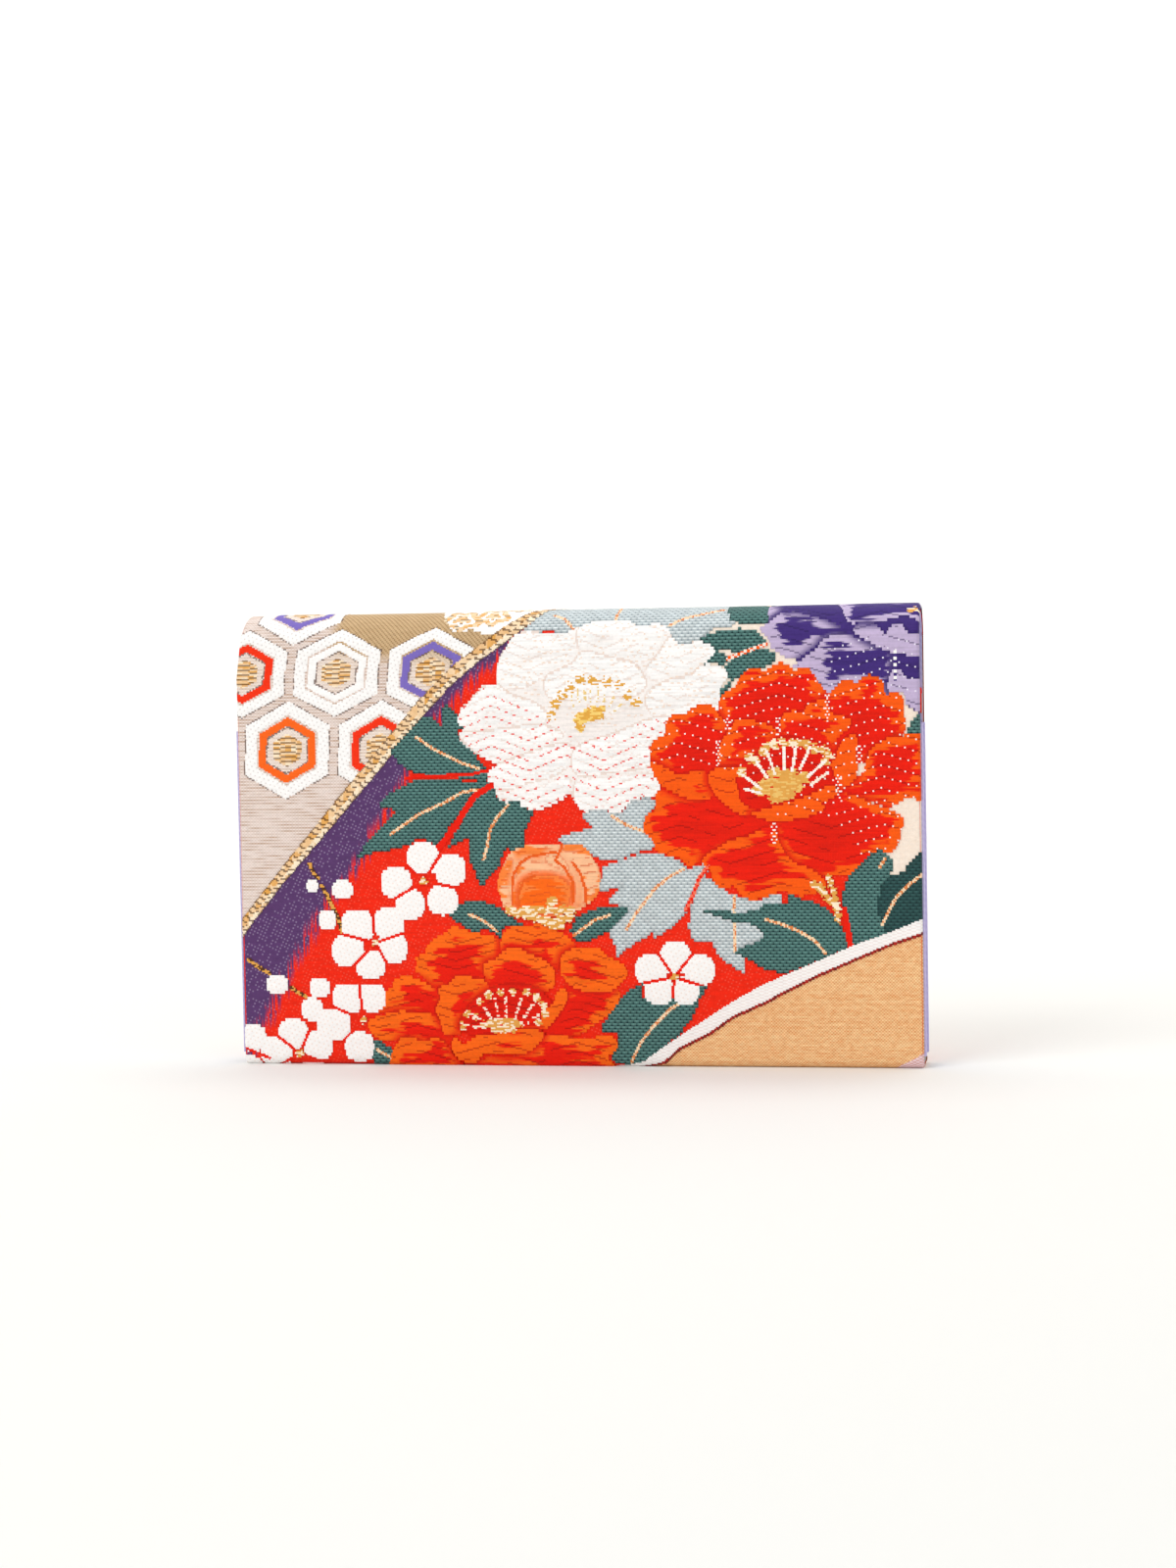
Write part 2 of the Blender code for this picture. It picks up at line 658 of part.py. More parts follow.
def make_body(parts, cutters, finishes):
    section = split_run(body_section(0), DRAW_IN_FROM_HEIGHT)
    strip("body_brocade", section, left_edge, lambda z: RIGHT, BROCADE, finishes["brocade"], parts)

    def lining_left(z):
        return left_edge(z) + BOARD_INSET

    section = split_run(body_lining_section(), DRAW_IN_FROM_HEIGHT)
    strip("body_lining", section, lining_left, lambda z: RIGHT - BOARD_INSET, LINING, finishes["lining"], parts)

    board_foot = BOARD_DEPTH + BOARD + GAP
    outline = panel_outline(board_foot, FOLD_CENTRE_HEIGHT, BOARD_INSET)
    front = BACK_Y + BOARD_DEPTH
    upright_plate("back_board", outline, front, front + BOARD, finishes["board"], parts)

    outline = panel_outline(board_foot, MOUTH_HEIGHT - HEM_RADIUS, BOARD_INSET)
    back = POCKET_Y - BOARD_DEPTH
    board = upright_plate("pocket_board", outline, back - BOARD, back, finishes["board"], parts)
    cut_round_seat(board, back - BOARD / 2, MAGNET_HEIGHT, cutters)
    disc("pocket_magnet", 0, back - BOARD / 2, MAGNET_HEIGHT, MAGNET_RADIUS, MAGNET_THICKNESS, finishes["magnet"], parts)

    near = BACK_Y + BACK_CORNER_RADIUS
    far = POCKET_Y - POCKET_CORNER_RADIUS
    side = RIGHT - BOARD_INSET
    outline = [(side, BOARD_DEPTH), (side, BOARD_DEPTH + BOARD), (-side, BOARD_DEPTH + BOARD), (-side, BOARD_DEPTH)]
    upright_plate("base_board", outline, near, far, finishes["board"], parts)

    gusset("gusset_left", -1, finishes["lining"], parts)
    gusset("gusset_right", 1, finishes["lining"], parts)

    half = SLIP_POCKET_WIDTH / 2
    outline = [(half, SLIP_POCKET_BOTTOM), (half, SLIP_POCKET_TOP), (-half, SLIP_POCKET_TOP), (-half, SLIP_POCKET_BOTTOM)]
    front = BACK_LINING_Y + GAP
    upright_plate("slip_pocket", outline, front, front + SLIP_POCKET_CLOTH, finishes["lining"], parts)


def make_flap(parts, cutters, finishes):
    left = left_edge(HEIGHT)
    straight = FOLD_CENTRE_HEIGHT - FLAP_HEM_HEIGHT - HEM_RADIUS
    hem = [("run", straight), ("turn", HEM_RADIUS, math.pi), ("run", HEM_TURNING)]
    section = flap_section(0, hem)
    strip("flap_brocade", section, lambda z: left, lambda z: RIGHT, BROCADE, finishes["brocade"], parts)

    section = flap_section(LINING_DEPTH, [("run", straight - HEM_TURNING - GAP)])
    strip(
        "flap_lining",
        section,
        lambda z: left + BOARD_INSET,
        lambda z: RIGHT - BOARD_INSET,
        LINING,
        finishes["lining"],
        parts,
    )

    foot = FLAP_HEM_HEIGHT + HEM_RADIUS
    right = RIGHT - BOARD_INSET
    edge = left + BOARD_INSET
    outline = [(right, foot), (right, FOLD_CENTRE_HEIGHT), (edge, FOLD_CENTRE_HEIGHT), (edge, foot)]
    back = FLAP_Y - BOARD_DEPTH
    board = upright_plate("flap_board", outline, back - BOARD, back, finishes["board"], parts)
    cut_round_seat(board, back - BOARD / 2, MAGNET_HEIGHT, cutters)
    disc("flap_magnet", 0, back - BOARD / 2, MAGNET_HEIGHT, MAGNET_RADIUS, MAGNET_THICKNESS, finishes["magnet"], parts)


def main():
    remove_everything()
    parts = make_collection("clutch_bag")
    cutters = make_collection("cutters", hidden=True)
    finishes = {
        "brocade": material("brocade", RED, 0.55),
        "lining": material("lining", LAVENDER, 0.6),
        "board": material("board", GREYBOARD, 0.9),
        "magnet": material("magnet", STEEL, 0.35, 1.0),
        "white_silk": material("white_silk", WHITE, 0.55),
        "red_silk": material("red_silk", ORANGE_RED, 0.55),
        "purple_silk": material("purple_silk", PURPLE, 0.55),
        "teal_silk": material("teal_silk", TEAL, 0.55),
        "pale_silk": material("pale_silk", PALE_BLUE, 0.55),
        "gold_thread": material("gold_thread", GOLD, 0.45),
        "tan_silk": material("tan_silk", TAN, 0.55),
    }
    make_body(parts, cutters, finishes)
    make_flap(parts, cutters, finishes)
    back = panel_outline(BACK_CORNER_RADIUS + GAP, FOLD_CENTRE_HEIGHT - GAP, FIGURE_SIDE_MARGIN)
    make_figures(figure_designs(), BACK_Y, -1, back, parts, cutters, finishes)
    flap_foot = FLAP_HEM_HEIGHT + HEM_RADIUS + GAP
    flap = [(RIGHT - GAP, flap_foot), (RIGHT - GAP, FOLD_CENTRE_HEIGHT - GAP)]
    flap += [(left_edge(HEIGHT) + GAP, FOLD_CENTRE_HEIGHT - GAP), (left_edge(HEIGHT) + GAP, flap_foot)]
    make_figures(flap_designs(), FLAP_Y, 1, flap, parts, cutters, finishes)


main()
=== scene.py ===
# %% [markdown]
# # A brocade clutch bag
#
# The bag is one strip of silk brocade over stiff board: pocket panel, base, back panel, round fold and flap.
# Its picture is not printed but woven, so this lesson works as a weaver does. The cloth is a grid of tiny
# cells, one for each crossing of the loom, and every motif is a simple outline that claims the cells inside
# it and gives them a thread colour and a height. A printed picture would be quicker to map on, but it
# would be flat: weaving it in cells gives the stepped edges and the raised floats of the real cloth.

import math

import bpy
import numpy as np
from mathutils import Matrix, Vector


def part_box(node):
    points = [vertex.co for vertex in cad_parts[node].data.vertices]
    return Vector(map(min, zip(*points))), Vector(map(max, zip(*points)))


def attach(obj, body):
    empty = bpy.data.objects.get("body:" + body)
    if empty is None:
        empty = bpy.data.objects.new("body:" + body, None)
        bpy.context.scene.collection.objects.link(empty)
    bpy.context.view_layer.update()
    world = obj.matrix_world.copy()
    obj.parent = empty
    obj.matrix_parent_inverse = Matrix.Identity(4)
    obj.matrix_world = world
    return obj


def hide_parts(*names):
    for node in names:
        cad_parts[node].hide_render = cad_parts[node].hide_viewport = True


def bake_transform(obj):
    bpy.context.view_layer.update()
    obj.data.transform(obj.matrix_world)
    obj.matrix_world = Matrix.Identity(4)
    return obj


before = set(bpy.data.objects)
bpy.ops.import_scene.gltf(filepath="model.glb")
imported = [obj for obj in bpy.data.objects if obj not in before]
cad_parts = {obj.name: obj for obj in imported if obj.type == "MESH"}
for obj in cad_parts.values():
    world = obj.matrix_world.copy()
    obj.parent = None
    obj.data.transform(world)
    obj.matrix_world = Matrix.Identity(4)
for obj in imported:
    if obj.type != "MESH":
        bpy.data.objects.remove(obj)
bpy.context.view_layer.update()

# %% [markdown]
# ## Sizes
#
# All lengths below are millimetres, as a maker would measure them, and the meshes are written in metres.
# Whatever the frame already knows is read from it, so that cloth and construction stay together.

# %% Sizes of the strip, read from the frame
MM = 0.001


def node_box(name):
    """A node's lowest and highest corners, in millimetres."""
    low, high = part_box(name)
    return np.array(low) / MM, np.array(high) / MM


body_low, body_high = node_box("body_brocade")
flap_low = node_box("flap_brocade")[0]
base_board_low, base_board_high = node_box("base_board")

HEIGHT = body_high[2]
HALF_WIDTH = body_high[0]
BACK_Y = body_low[1]
FOLD_RADIUS = -BACK_Y
FOLD_HEIGHT = HEIGHT - FOLD_RADIUS
FLAP_LEFT = flap_low[0]
BACK_RADIUS = base_board_low[1] - BACK_Y
POCKET_RADIUS = 2.0
BROCADE = 0.9
HEM_RADIUS = 1.95
HEM_TURNING = 6.0
POCKET_Y = base_board_high[1] + POCKET_RADIUS
MOUTH_HEIGHT = node_box("pocket_board")[1][2] + HEM_RADIUS
FLAP_HEM_HEIGHT = flap_low[2]
DRAW_IN_FROM = 125.0
print("width", 2 * HALF_WIDTH, "height", HEIGHT, "fold radius", FOLD_RADIUS)

# %% [markdown]
# ## The section of the strip
#
# Seen from the side, the strip is a line that runs up inside the mouth, over the pocket's hem, down the
# pocket panel, round the base, up the back, over the fold and down the flap. It could be drawn as a curve
# object, but the cloth needs to know the place and the outward direction at any distance along it, so the
# section is walked once, as straight runs and arcs, and looked up with np.interp ever after. The distance h
# is chosen so that h equals the height above the table all the way up the back panel.

# %% Walk along the section
ARC_STEP = math.radians(3)


def walk(start, heading, moves):
    """Rows of (distance, y, z, outward y, outward z) along straight runs and arcs that turn to the right."""
    place = np.array(start, float)
    rows = [[0.0, *place, -math.sin(heading), math.cos(heading)]]
    distance = 0.0
    for length, radius, angle in moves:
        if angle == 0:
            place = place + length * np.array([math.cos(heading), math.sin(heading)])
            distance += length
            rows.append([distance, *place, -math.sin(heading), math.cos(heading)])
            continue
        centre = place + radius * np.array([math.sin(heading), -math.cos(heading)])
        for turned in np.linspace(0, angle, max(3, round(angle / ARC_STEP)))[1:]:
            out = np.array([-math.sin(heading - turned), math.cos(heading - turned)])
            rows.append([distance + radius * turned, *(centre + radius * out), *out])
        place = centre + radius * out
        distance += radius * angle
        heading -= angle
    return np.array(rows)


QUARTER = math.pi / 2
pocket_run = MOUTH_HEIGHT - HEM_RADIUS - POCKET_RADIUS
base_run = POCKET_Y - POCKET_RADIUS - BACK_Y - BACK_RADIUS
flap_run = FOLD_HEIGHT - FLAP_HEM_HEIGHT - HEM_RADIUS
section = walk(
    (POCKET_Y - 2 * HEM_RADIUS, MOUTH_HEIGHT - HEM_RADIUS - HEM_TURNING),
    QUARTER,
    [
        (HEM_TURNING, 0, 0),
        (0, HEM_RADIUS, math.pi),
        (pocket_run, 0, 0),
        (0, POCKET_RADIUS, QUARTER),
        (base_run, 0, 0),
        (0, BACK_RADIUS, QUARTER),
        (FOLD_HEIGHT - BACK_RADIUS, 0, 0),
        (0, FOLD_RADIUS, math.pi),
        (flap_run, 0, 0),
        (0, HEM_RADIUS, math.pi),
        (HEM_TURNING, 0, 0),
    ],
)
fold_row = int(np.argmin(np.abs(section[:, 2] - FOLD_HEIGHT) + np.abs(section[:, 1] - BACK_Y)))
section[:, 0] += FOLD_HEIGHT - section[fold_row, 0]
H_START, H_END = section[0, 0], section[-1, 0]
H_FOLD_END = FOLD_HEIGHT + math.pi * FOLD_RADIUS
H_FLAP_HEM = H_FOLD_END + flap_run
H_BASE = BACK_RADIUS * (1 - QUARTER)
H_POCKET = H_BASE - base_run - QUARTER * POCKET_RADIUS
print("strip runs from", round(H_START, 1), "to", round(H_END, 1), "mm")

# %% [markdown]
# ## From the strip to space
#
# Cloth lies flat on the loom and is wrapped round the boards afterwards. A modifier could bend a flat mesh,
# but here one function gives the place in space for any spot of the strip, so nothing has to be applied.

# %% Put the strip in space
EDGE_ROUND = 1.0


def left_of(h):
    """The strip's left edge: straight up the panel, then drawn in to the fold and the flap."""
    return np.interp(h, [DRAW_IN_FROM, FOLD_HEIGHT + QUARTER * FOLD_RADIUS], [-HALF_WIDTH, FLAP_LEFT])


def on_strip(x, h, lift):
    """Metres in space of cloth coordinates: x across, h along, lift outwards from the ground cloth.

    The section gives the place and its outward direction, and lift moves along that direction. Within
    EDGE_ROUND of either side the surface falls away on a quarter circle. The left side is drawn in by
    squeezing x evenly.
    """
    y, z, out_y, out_z = (np.interp(h, section[:, 0], section[:, k]) for k in (1, 2, 3, 4))
    over = np.clip(np.abs(x) - (HALF_WIDTH - EDGE_ROUND), 0, EDGE_ROUND)
    lift = lift - (EDGE_ROUND - np.sqrt(EDGE_ROUND**2 - over**2))
    squeeze = (HALF_WIDTH - left_of(h)) / (2 * HALF_WIDTH)
    x = HALF_WIDTH - (HALF_WIDTH - x) * squeeze
    return np.stack([x, y + lift * out_y, z + lift * out_z], -1) * MM


print("left edge of the flap drawn in by", round(float(FLAP_LEFT + HALF_WIDTH), 2), "mm")

# %% [markdown]
# ## The loom
#
# A jacquard loom lifts or drops single warp threads, so its drawing is a squared paper. Here the squared
# paper is a set of numpy arrays, one value for each cell: colour, height and the piece of the picture
# that it belongs to. A mesh made by hand for each petal would need every step of its edge as a point; on
# squared paper each motif is one outline and a rule for its threads.

# %% Squared paper
CELL = 0.5
H_PICTURE_LOW, H_PICTURE_HIGH = H_POCKET, H_FOLD_END


class Paper:
    """Squared paper over part of the strip. A window on it shares its cells."""

    def __init__(self, x, h, colour, lift, piece):
        self.x, self.h, self.colour, self.lift, self.piece = x, h, colour, lift, piece

    @classmethod
    def blank(cls, low, high):
        """Empty paper over the strip's whole width, from one distance along it to another."""
        across = np.arange(round(2 * HALF_WIDTH / CELL)) * CELL + CELL / 2 - HALF_WIDTH
        along = np.arange(int((high - low) / CELL)) * CELL + CELL / 2 + low
        x, h = np.meshgrid(across, along)
        return cls(x, h, np.zeros(x.shape + (3,)), np.zeros(x.shape), np.zeros(x.shape, int))

    def window(self, outline, margin=1.0):
        """The part of the paper round an outline, or None where the outline lies off the paper."""
        low, high = np.min(outline, 0) - margin, np.max(outline, 0) + margin
        columns = np.flatnonzero((self.x[0] >= low[0]) & (self.x[0] <= high[0]))
        rows = np.flatnonzero((self.h[:, 0] >= low[1]) & (self.h[:, 0] <= high[1]))
        if len(rows) == 0 or len(columns) == 0:
            return None
        part = (slice(rows[0], rows[-1] + 1), slice(columns[0], columns[-1] + 1))
        return Paper(self.x[part], self.h[part], self.colour[part], self.lift[part], self.piece[part])

    def paint(self, mask, colour, lift, piece=None):
        """Gives the masked cells a colour, a height and, if named, a piece."""
        self.colour[mask] = np.broadcast_to(colour, self.colour.shape)[mask]
        self.lift[mask] = np.broadcast_to(lift, self.lift.shape)[mask]
        if piece is not None:
            self.piece[mask] = PIECES.index(piece)

    def count(self, piece):
        """The number of cells that belong to a piece."""
        return int((self.piece == PIECES.index(piece)).sum())


PIECES = [
    "woven_ground",
    "woven_ground_top",
    "woven_hexagons",
    "woven_cord",
    "woven_cream",
    "woven_tan",
    "woven_arc",
    "leaves_dark",
    "leaves_top",
    "leaves_pale",
    "plum_blossoms",
    "peony_purple",
    "peony_white",
    "peony_red_left",
    "peony_red_right",
    "peony_bud",
]
paper = Paper.blank(H_PICTURE_LOW, H_PICTURE_HIGH)
print("cells in the picture:", paper.x.size)

# %% [markdown]
# ## Outlines
#
# A motif is drawn on the paper as a closed outline. A Bezier curve would need two handles at each corner, so
# a Catmull-Rom curve, which needs none, is run through the corners. Two measures are then taken at each cell:
# whether it lies inside, and how far from the line.

# %% Outlines: smoothing, insides and distances


def flat(text):
    """Points from text, x y pairs apart by commas, heights seen from the front turned into cloth lengths.

    Over the fold and round the base a height seen from the front is a sine, so its arc sine gives the
    length along the cloth.
    """
    points = np.array([[float(n) for n in pair.split()] for pair in text.split(",")])
    z = points[:, 1]
    over = FOLD_RADIUS * np.arcsin(np.clip((z - FOLD_HEIGHT) / FOLD_RADIUS, 0, 1))
    under = BACK_RADIUS * np.arcsin(np.clip((BACK_RADIUS - z) / BACK_RADIUS, 0, 1))
    points[:, 1] = np.clip(z, BACK_RADIUS, FOLD_HEIGHT) + over - under
    return points


def points_of(line):
    """The points of a line that is given as text or as points."""
    return flat(line) if isinstance(line, str) else np.array(line, float)


def curved(points, steps=4, closed=True):
    """A Catmull-Rom curve through the points: each stretch is a cubic whose slopes follow its neighbours."""
    before, after, later = (np.roll(points, n, 0) for n in (1, -1, -2))
    t = (np.arange(steps) / steps)[None, :, None]
    a, b, c, d = (p[:, None, :] for p in (before, points, after, later))
    cubic = 2 * b + (c - a) * t + (2 * a - 5 * b + 4 * c - d) * t**2 + (3 * b - a - 3 * c + d) * t**3
    line = (cubic / 2).reshape(-1, 2)
    return line if closed else line[steps : -2 * steps + 1]


def inside(x, h, outline):
    """True where a cell lies inside: a ray to the right crosses the outline an odd number of times."""
    found = np.zeros(x.shape, bool)
    for (x0, h0), (x1, h1) in zip(outline, np.roll(outline, -1, 0)):
        if h0 == h1:
            continue
        crosses = (h >= min(h0, h1)) & (h < max(h0, h1)) & (x < x0 + (h - h0) * (x1 - x0) / (h1 - h0))
        found ^= crosses
    return found


def distance_to(x, h, line, closed=True):
    """Shortest distance from each cell to a line of points."""
    shortest = np.full(x.shape, np.inf)
    ends = np.roll(line, -1, 0) if closed else line[1:]
    for (x0, h0), (x1, h1) in zip(line, ends):
        dx, dh = x1 - x0, h1 - h0
        t = np.clip(((x - x0) * dx + (h - h0) * dh) / max(dx * dx + dh * dh, 1e-9), 0, 1)
        shortest = np.minimum(shortest, np.hypot(x - x0 - t * dx, h - h0 - t * dh))
    return shortest


square = np.array([(0, 0), (10, 0), (10, 10), (0, 10)])
print("a square smoothed to a curve has", len(curved(square)), "points")

# %% [markdown]
# ## Uneven threads
#
# Silk threads differ a little in shade and end at slightly different places. Random numbers would change with
# every run, so each thread gets its own fixed number from its row, its column and a seed.

# %% Threads: small repeatable variations


def grain(i, j, seed=0):
    """A number from 0 to 1 for each whole pair i, j: the fraction of a large sine, the same every run."""
    return np.modf(np.abs(np.sin(i * 12.9898 + j * 78.233 + seed * 37.719) * 43758.5453))[0]


def smooth(low, high, value):
    """0 below low, 1 above high and an S curve between."""
    t = np.clip((value - low) / (high - low), 0, 1)
    return t * t * (3 - 2 * t)


def mix(a, b, share):
    """Colour a turned into colour b by a share for each cell."""
    share = np.asarray(share)[..., None]
    return np.asarray(a) * (1 - share) + np.asarray(b) * share


def weft_streaks(x, h, length, seed=0):
    """Streaks along the weft: each pick is cut into floats of about one length, each with its own value."""
    pick = np.floor(h / CELL)
    slide = grain(pick, 3, seed) * length
    here = (x + slide) / length
    cell = np.floor(here)
    turned = smooth(0, 1, here - cell)
    return grain(cell, pick, seed) * (1 - turned) + grain(cell + 1, pick, seed) * turned


def dyed(red, green, blue):
    """A thread colour given as on a screen, 0 to 255, turned into light."""
    c = np.array([red, green, blue]) / 255
    return np.where(c <= 0.04045, c / 12.92, ((c + 0.055) / 1.055) ** 2.4)


RED_GROUND = dyed(246, 38, 6)
RED_DEEP = dyed(240, 26, 0)
ORANGE = dyed(255, 92, 4)
ORANGE_LEFT = dyed(255, 106, 14)
DARK_RED = dyed(158, 12, 0)
PURPLE = dyed(90, 58, 108)
PURPLE_DEEP = dyed(66, 44, 122)
LILAC = dyed(198, 180, 214)
TEAL = dyed(98, 144, 138)
TEAL_GAP = dyed(14, 46, 48)
TEAL_DARK = dyed(52, 92, 90)
TEAL_DARK_GAP = dyed(20, 46, 48)
PALE = dyed(228, 235, 236)
PALE_GAP = dyed(140, 154, 160)
GOLD = dyed(230, 166, 78)
GOLD_LIGHT = dyed(255, 238, 208)
GOLD_DARK = dyed(92, 56, 30)
WHITE = dyed(255, 253, 251)
CREAM = dyed(252, 238, 224)
TAN = dyed(255, 222, 168)
KHAKI = dyed(210, 179, 137)
print("first thread values:", np.round(grain(np.arange(4), 0), 2))
LILAC_BEIGE = dyed(238, 224, 217)
VEIN = dyed(226, 132, 72)
VEIN_LIGHT = dyed(252, 218, 178)
PEACH = dyed(255, 196, 150)

# %% [markdown]
# ## Grounds
#
# Everything behind the flowers: a red satin that turns purple towards the gold cord in long upright
# streaks, a cream ground at the upper right and a ribbed tan ground under the white arc. Gradients painted
# with smooth colour would look airbrushed. The weaver can only choose one thread or the other at
# each crossing, so the streaks are chosen cell by cell.

# %% Lines that divide the grounds
CORD_RIGHT = flat(
    "26 146, 10 146, -8 144.7, -14 141, -20 136.6, -30 129.6, -40 121, -50.7 109.7, -60 98.6, -75.2 81.5,"
    "-87.7 67.6, -96.5 58, -101 52.3, -105.7 46.8, -112 38"
)
CORD_LEFT = flat(
    "8 146, -4 146, -14 144.6, -20 141.8, -30 134.6, -37 129.5, -50 117, -60 105.5, -68.7 95.6, -75 88.4,"
    "-81.7 80.6, -86.8 74.6, -95 65.2, -99.7 59.4, -104.6 53.5, -112 44.5"
)
CORD_RIGHT = np.vstack([[(130, 272), (20, 168), (6, 157)], CORD_RIGHT[2:]])
CORD_LEFT = np.vstack([[(122, 272), (11, 168), (-3, 157)], CORD_LEFT[2:]])
RED_EDGE = flat(
    "-16 140, -20 134, -27 128, -37 118, -50 104, -56 90, -62 80, -67 70, -72 62, -83 50, -88 40, -94 30,"
    "-99 20, -104 12, -107 8"
)
RED_EDGE = np.vstack([[(150, 272), (34, 168), (8, 154)], RED_EDGE])
ARC_TOP = flat(
    "8 -4, 21.5 2, 30 8, 40 14.5, 50 21, 60 26.5, 75 33, 90 39.5, 100 43, 112 48"
)
ARC_BOTTOM = flat(
    "16 -4, 28 1.5, 33 6, 43 11, 50 16, 60 20.5, 75 28.3, 90 34.8, 100 39, 112 43"
)


def x_at(line, h):
    """Where a rising or falling line crosses each height."""
    order = np.argsort(line[:, 1], kind="stable")
    return np.interp(h, line[order, 1], line[order, 0])


def satin(cells, colour, speck, seed):
    """Satin ground: fine weft variation and specks along a twill where a binding thread shows."""
    shade = 0.9 + 0.14 * weft_streaks(cells.x, cells.h, 3.0, seed)
    shown = colour * shade[..., None]
    i, j = np.floor(cells.x / CELL), np.floor(cells.h / CELL)
    specks = ((i + 2 * j) % 5 == 0) & (grain(i, j, seed + 5) > 0.4)
    return mix(shown, speck, 0.3 * specks)


GROUND_SPLIT = 100.0


def weave_grounds(cells):
    """Purple by the cord and red beyond: every warp thread turns at its own distance, in upright streaks."""
    warp = np.floor(cells.x / CELL)
    streak = grain(warp, np.floor((cells.h + 5 * grain(warp, 1)) / 6.5), 2)
    beyond = cells.x - x_at(RED_EDGE, cells.h)
    is_red = smooth(-2.2, 2.2, beyond + 5.5 * (streak - 0.5))
    purple = satin(cells, PURPLE, LILAC, 1)
    red = satin(cells, RED_GROUND, dyed(255, 112, 88), 2)
    shown = mix(purple, red, is_red)
    cells.paint(cells.h < GROUND_SPLIT, shown, 0.06, "woven_ground")
    cells.paint(cells.h >= GROUND_SPLIT, shown, 0.06, "woven_ground_top")


weave_grounds(paper)

CREAM_GROUND = flat("36 146, 112 146, 112 58, 95 58, 80 100, 50 118, 38 128")
TAN_GROUND = np.vstack([ARC_BOTTOM, [(112, -20), (10, -20)]])
TAN_THREAD = dyed(222, 138, 74)


def weave_plain(outline, colour, rib, piece, seed, twill):
    """Ribbed ground: each pick a slightly different shade, crossed by a twill of the given strength."""
    cells = paper.window(outline)
    i, j = np.floor(cells.x / CELL), np.floor(cells.h / CELL)
    threads = 0.16 * grain(j, 0, seed) + 0.36 * weft_streaks(cells.x, cells.h, 1.2, seed)
    share = np.clip(threads + twill * ((i + j) % 2), 0, 1)
    cells.paint(inside(cells.x, cells.h, outline), mix(colour, rib, share), 0.08, piece)


weave_plain(CREAM_GROUND, CREAM, dyed(244, 222, 200), "woven_cream", 11, 0.1)
weave_plain(TAN_GROUND, TAN, TAN_THREAD, "woven_tan", 12, 0.5)

STITCHED_CORNER = flat("100 -3, 103 1.2, 112 6, 112 -6, 100 -6")
cells = paper.window(STITCHED_CORNER)
stitches = np.floor(cells.x / 1.0 + cells.h / 0.5) % 2
corner_colour = mix(dyed(240, 214, 220), dyed(214, 150, 140), 0.7 * stitches)
cells.paint(inside(cells.x, cells.h, STITCHED_CORNER), corner_colour, 0.15)
print("grounds:", sorted({PIECES[n] for n in np.unique(paper.piece)}))

# %% [markdown]
# ## Tortoiseshell hexagons
#
# The upper left is a lattice of tall hexagons, each a white ring, a coloured ring and a gold middle. They
# could be built one by one as polygons, but a hexagon is only the region where three distances from its
# middle are all small, so one formula draws every ring at once.

# %% Hexagon lattice
HEX_PITCH = 30.9
HEX_ROW = 24.7
HEX_FIRST = (-107.6, 126.5)
HEX_HALF_WIDTH = 14.2
HEX_HALF_HEIGHTS = {0: 14.4}
HEX_HALF_HEIGHT = 16.2
HEX_LEAN = 0.05
HEX_SLANT = 0.5
RING_PURPLE, RING_RED, RING_ORANGE = dyed(126, 108, 192), dyed(248, 50, 10), dyed(255, 104, 24)
RING_ORDER = [RING_ORANGE, RING_RED, RING_PURPLE, WHITE]
RINGS = {(-1, 0): 0, (-1, 1): 1, (0, 0): 1, (0, 1): 3, (0, 2): 2, (1, 0): 2}
LEFT_OUT = [(1, 1), (1, 2)]
KHAKI_CORNER = (-76, 131)


def hexagon_size(x, h, centre_x, centre_h, half_height):
    """How far out a cell lies, as the largest of three slants: 1 is the hexagon's outline."""
    u, v = np.abs(x - centre_x) / HEX_HALF_WIDTH, np.abs(h - centre_h) / half_height
    return np.maximum(u, v + HEX_SLANT * u)


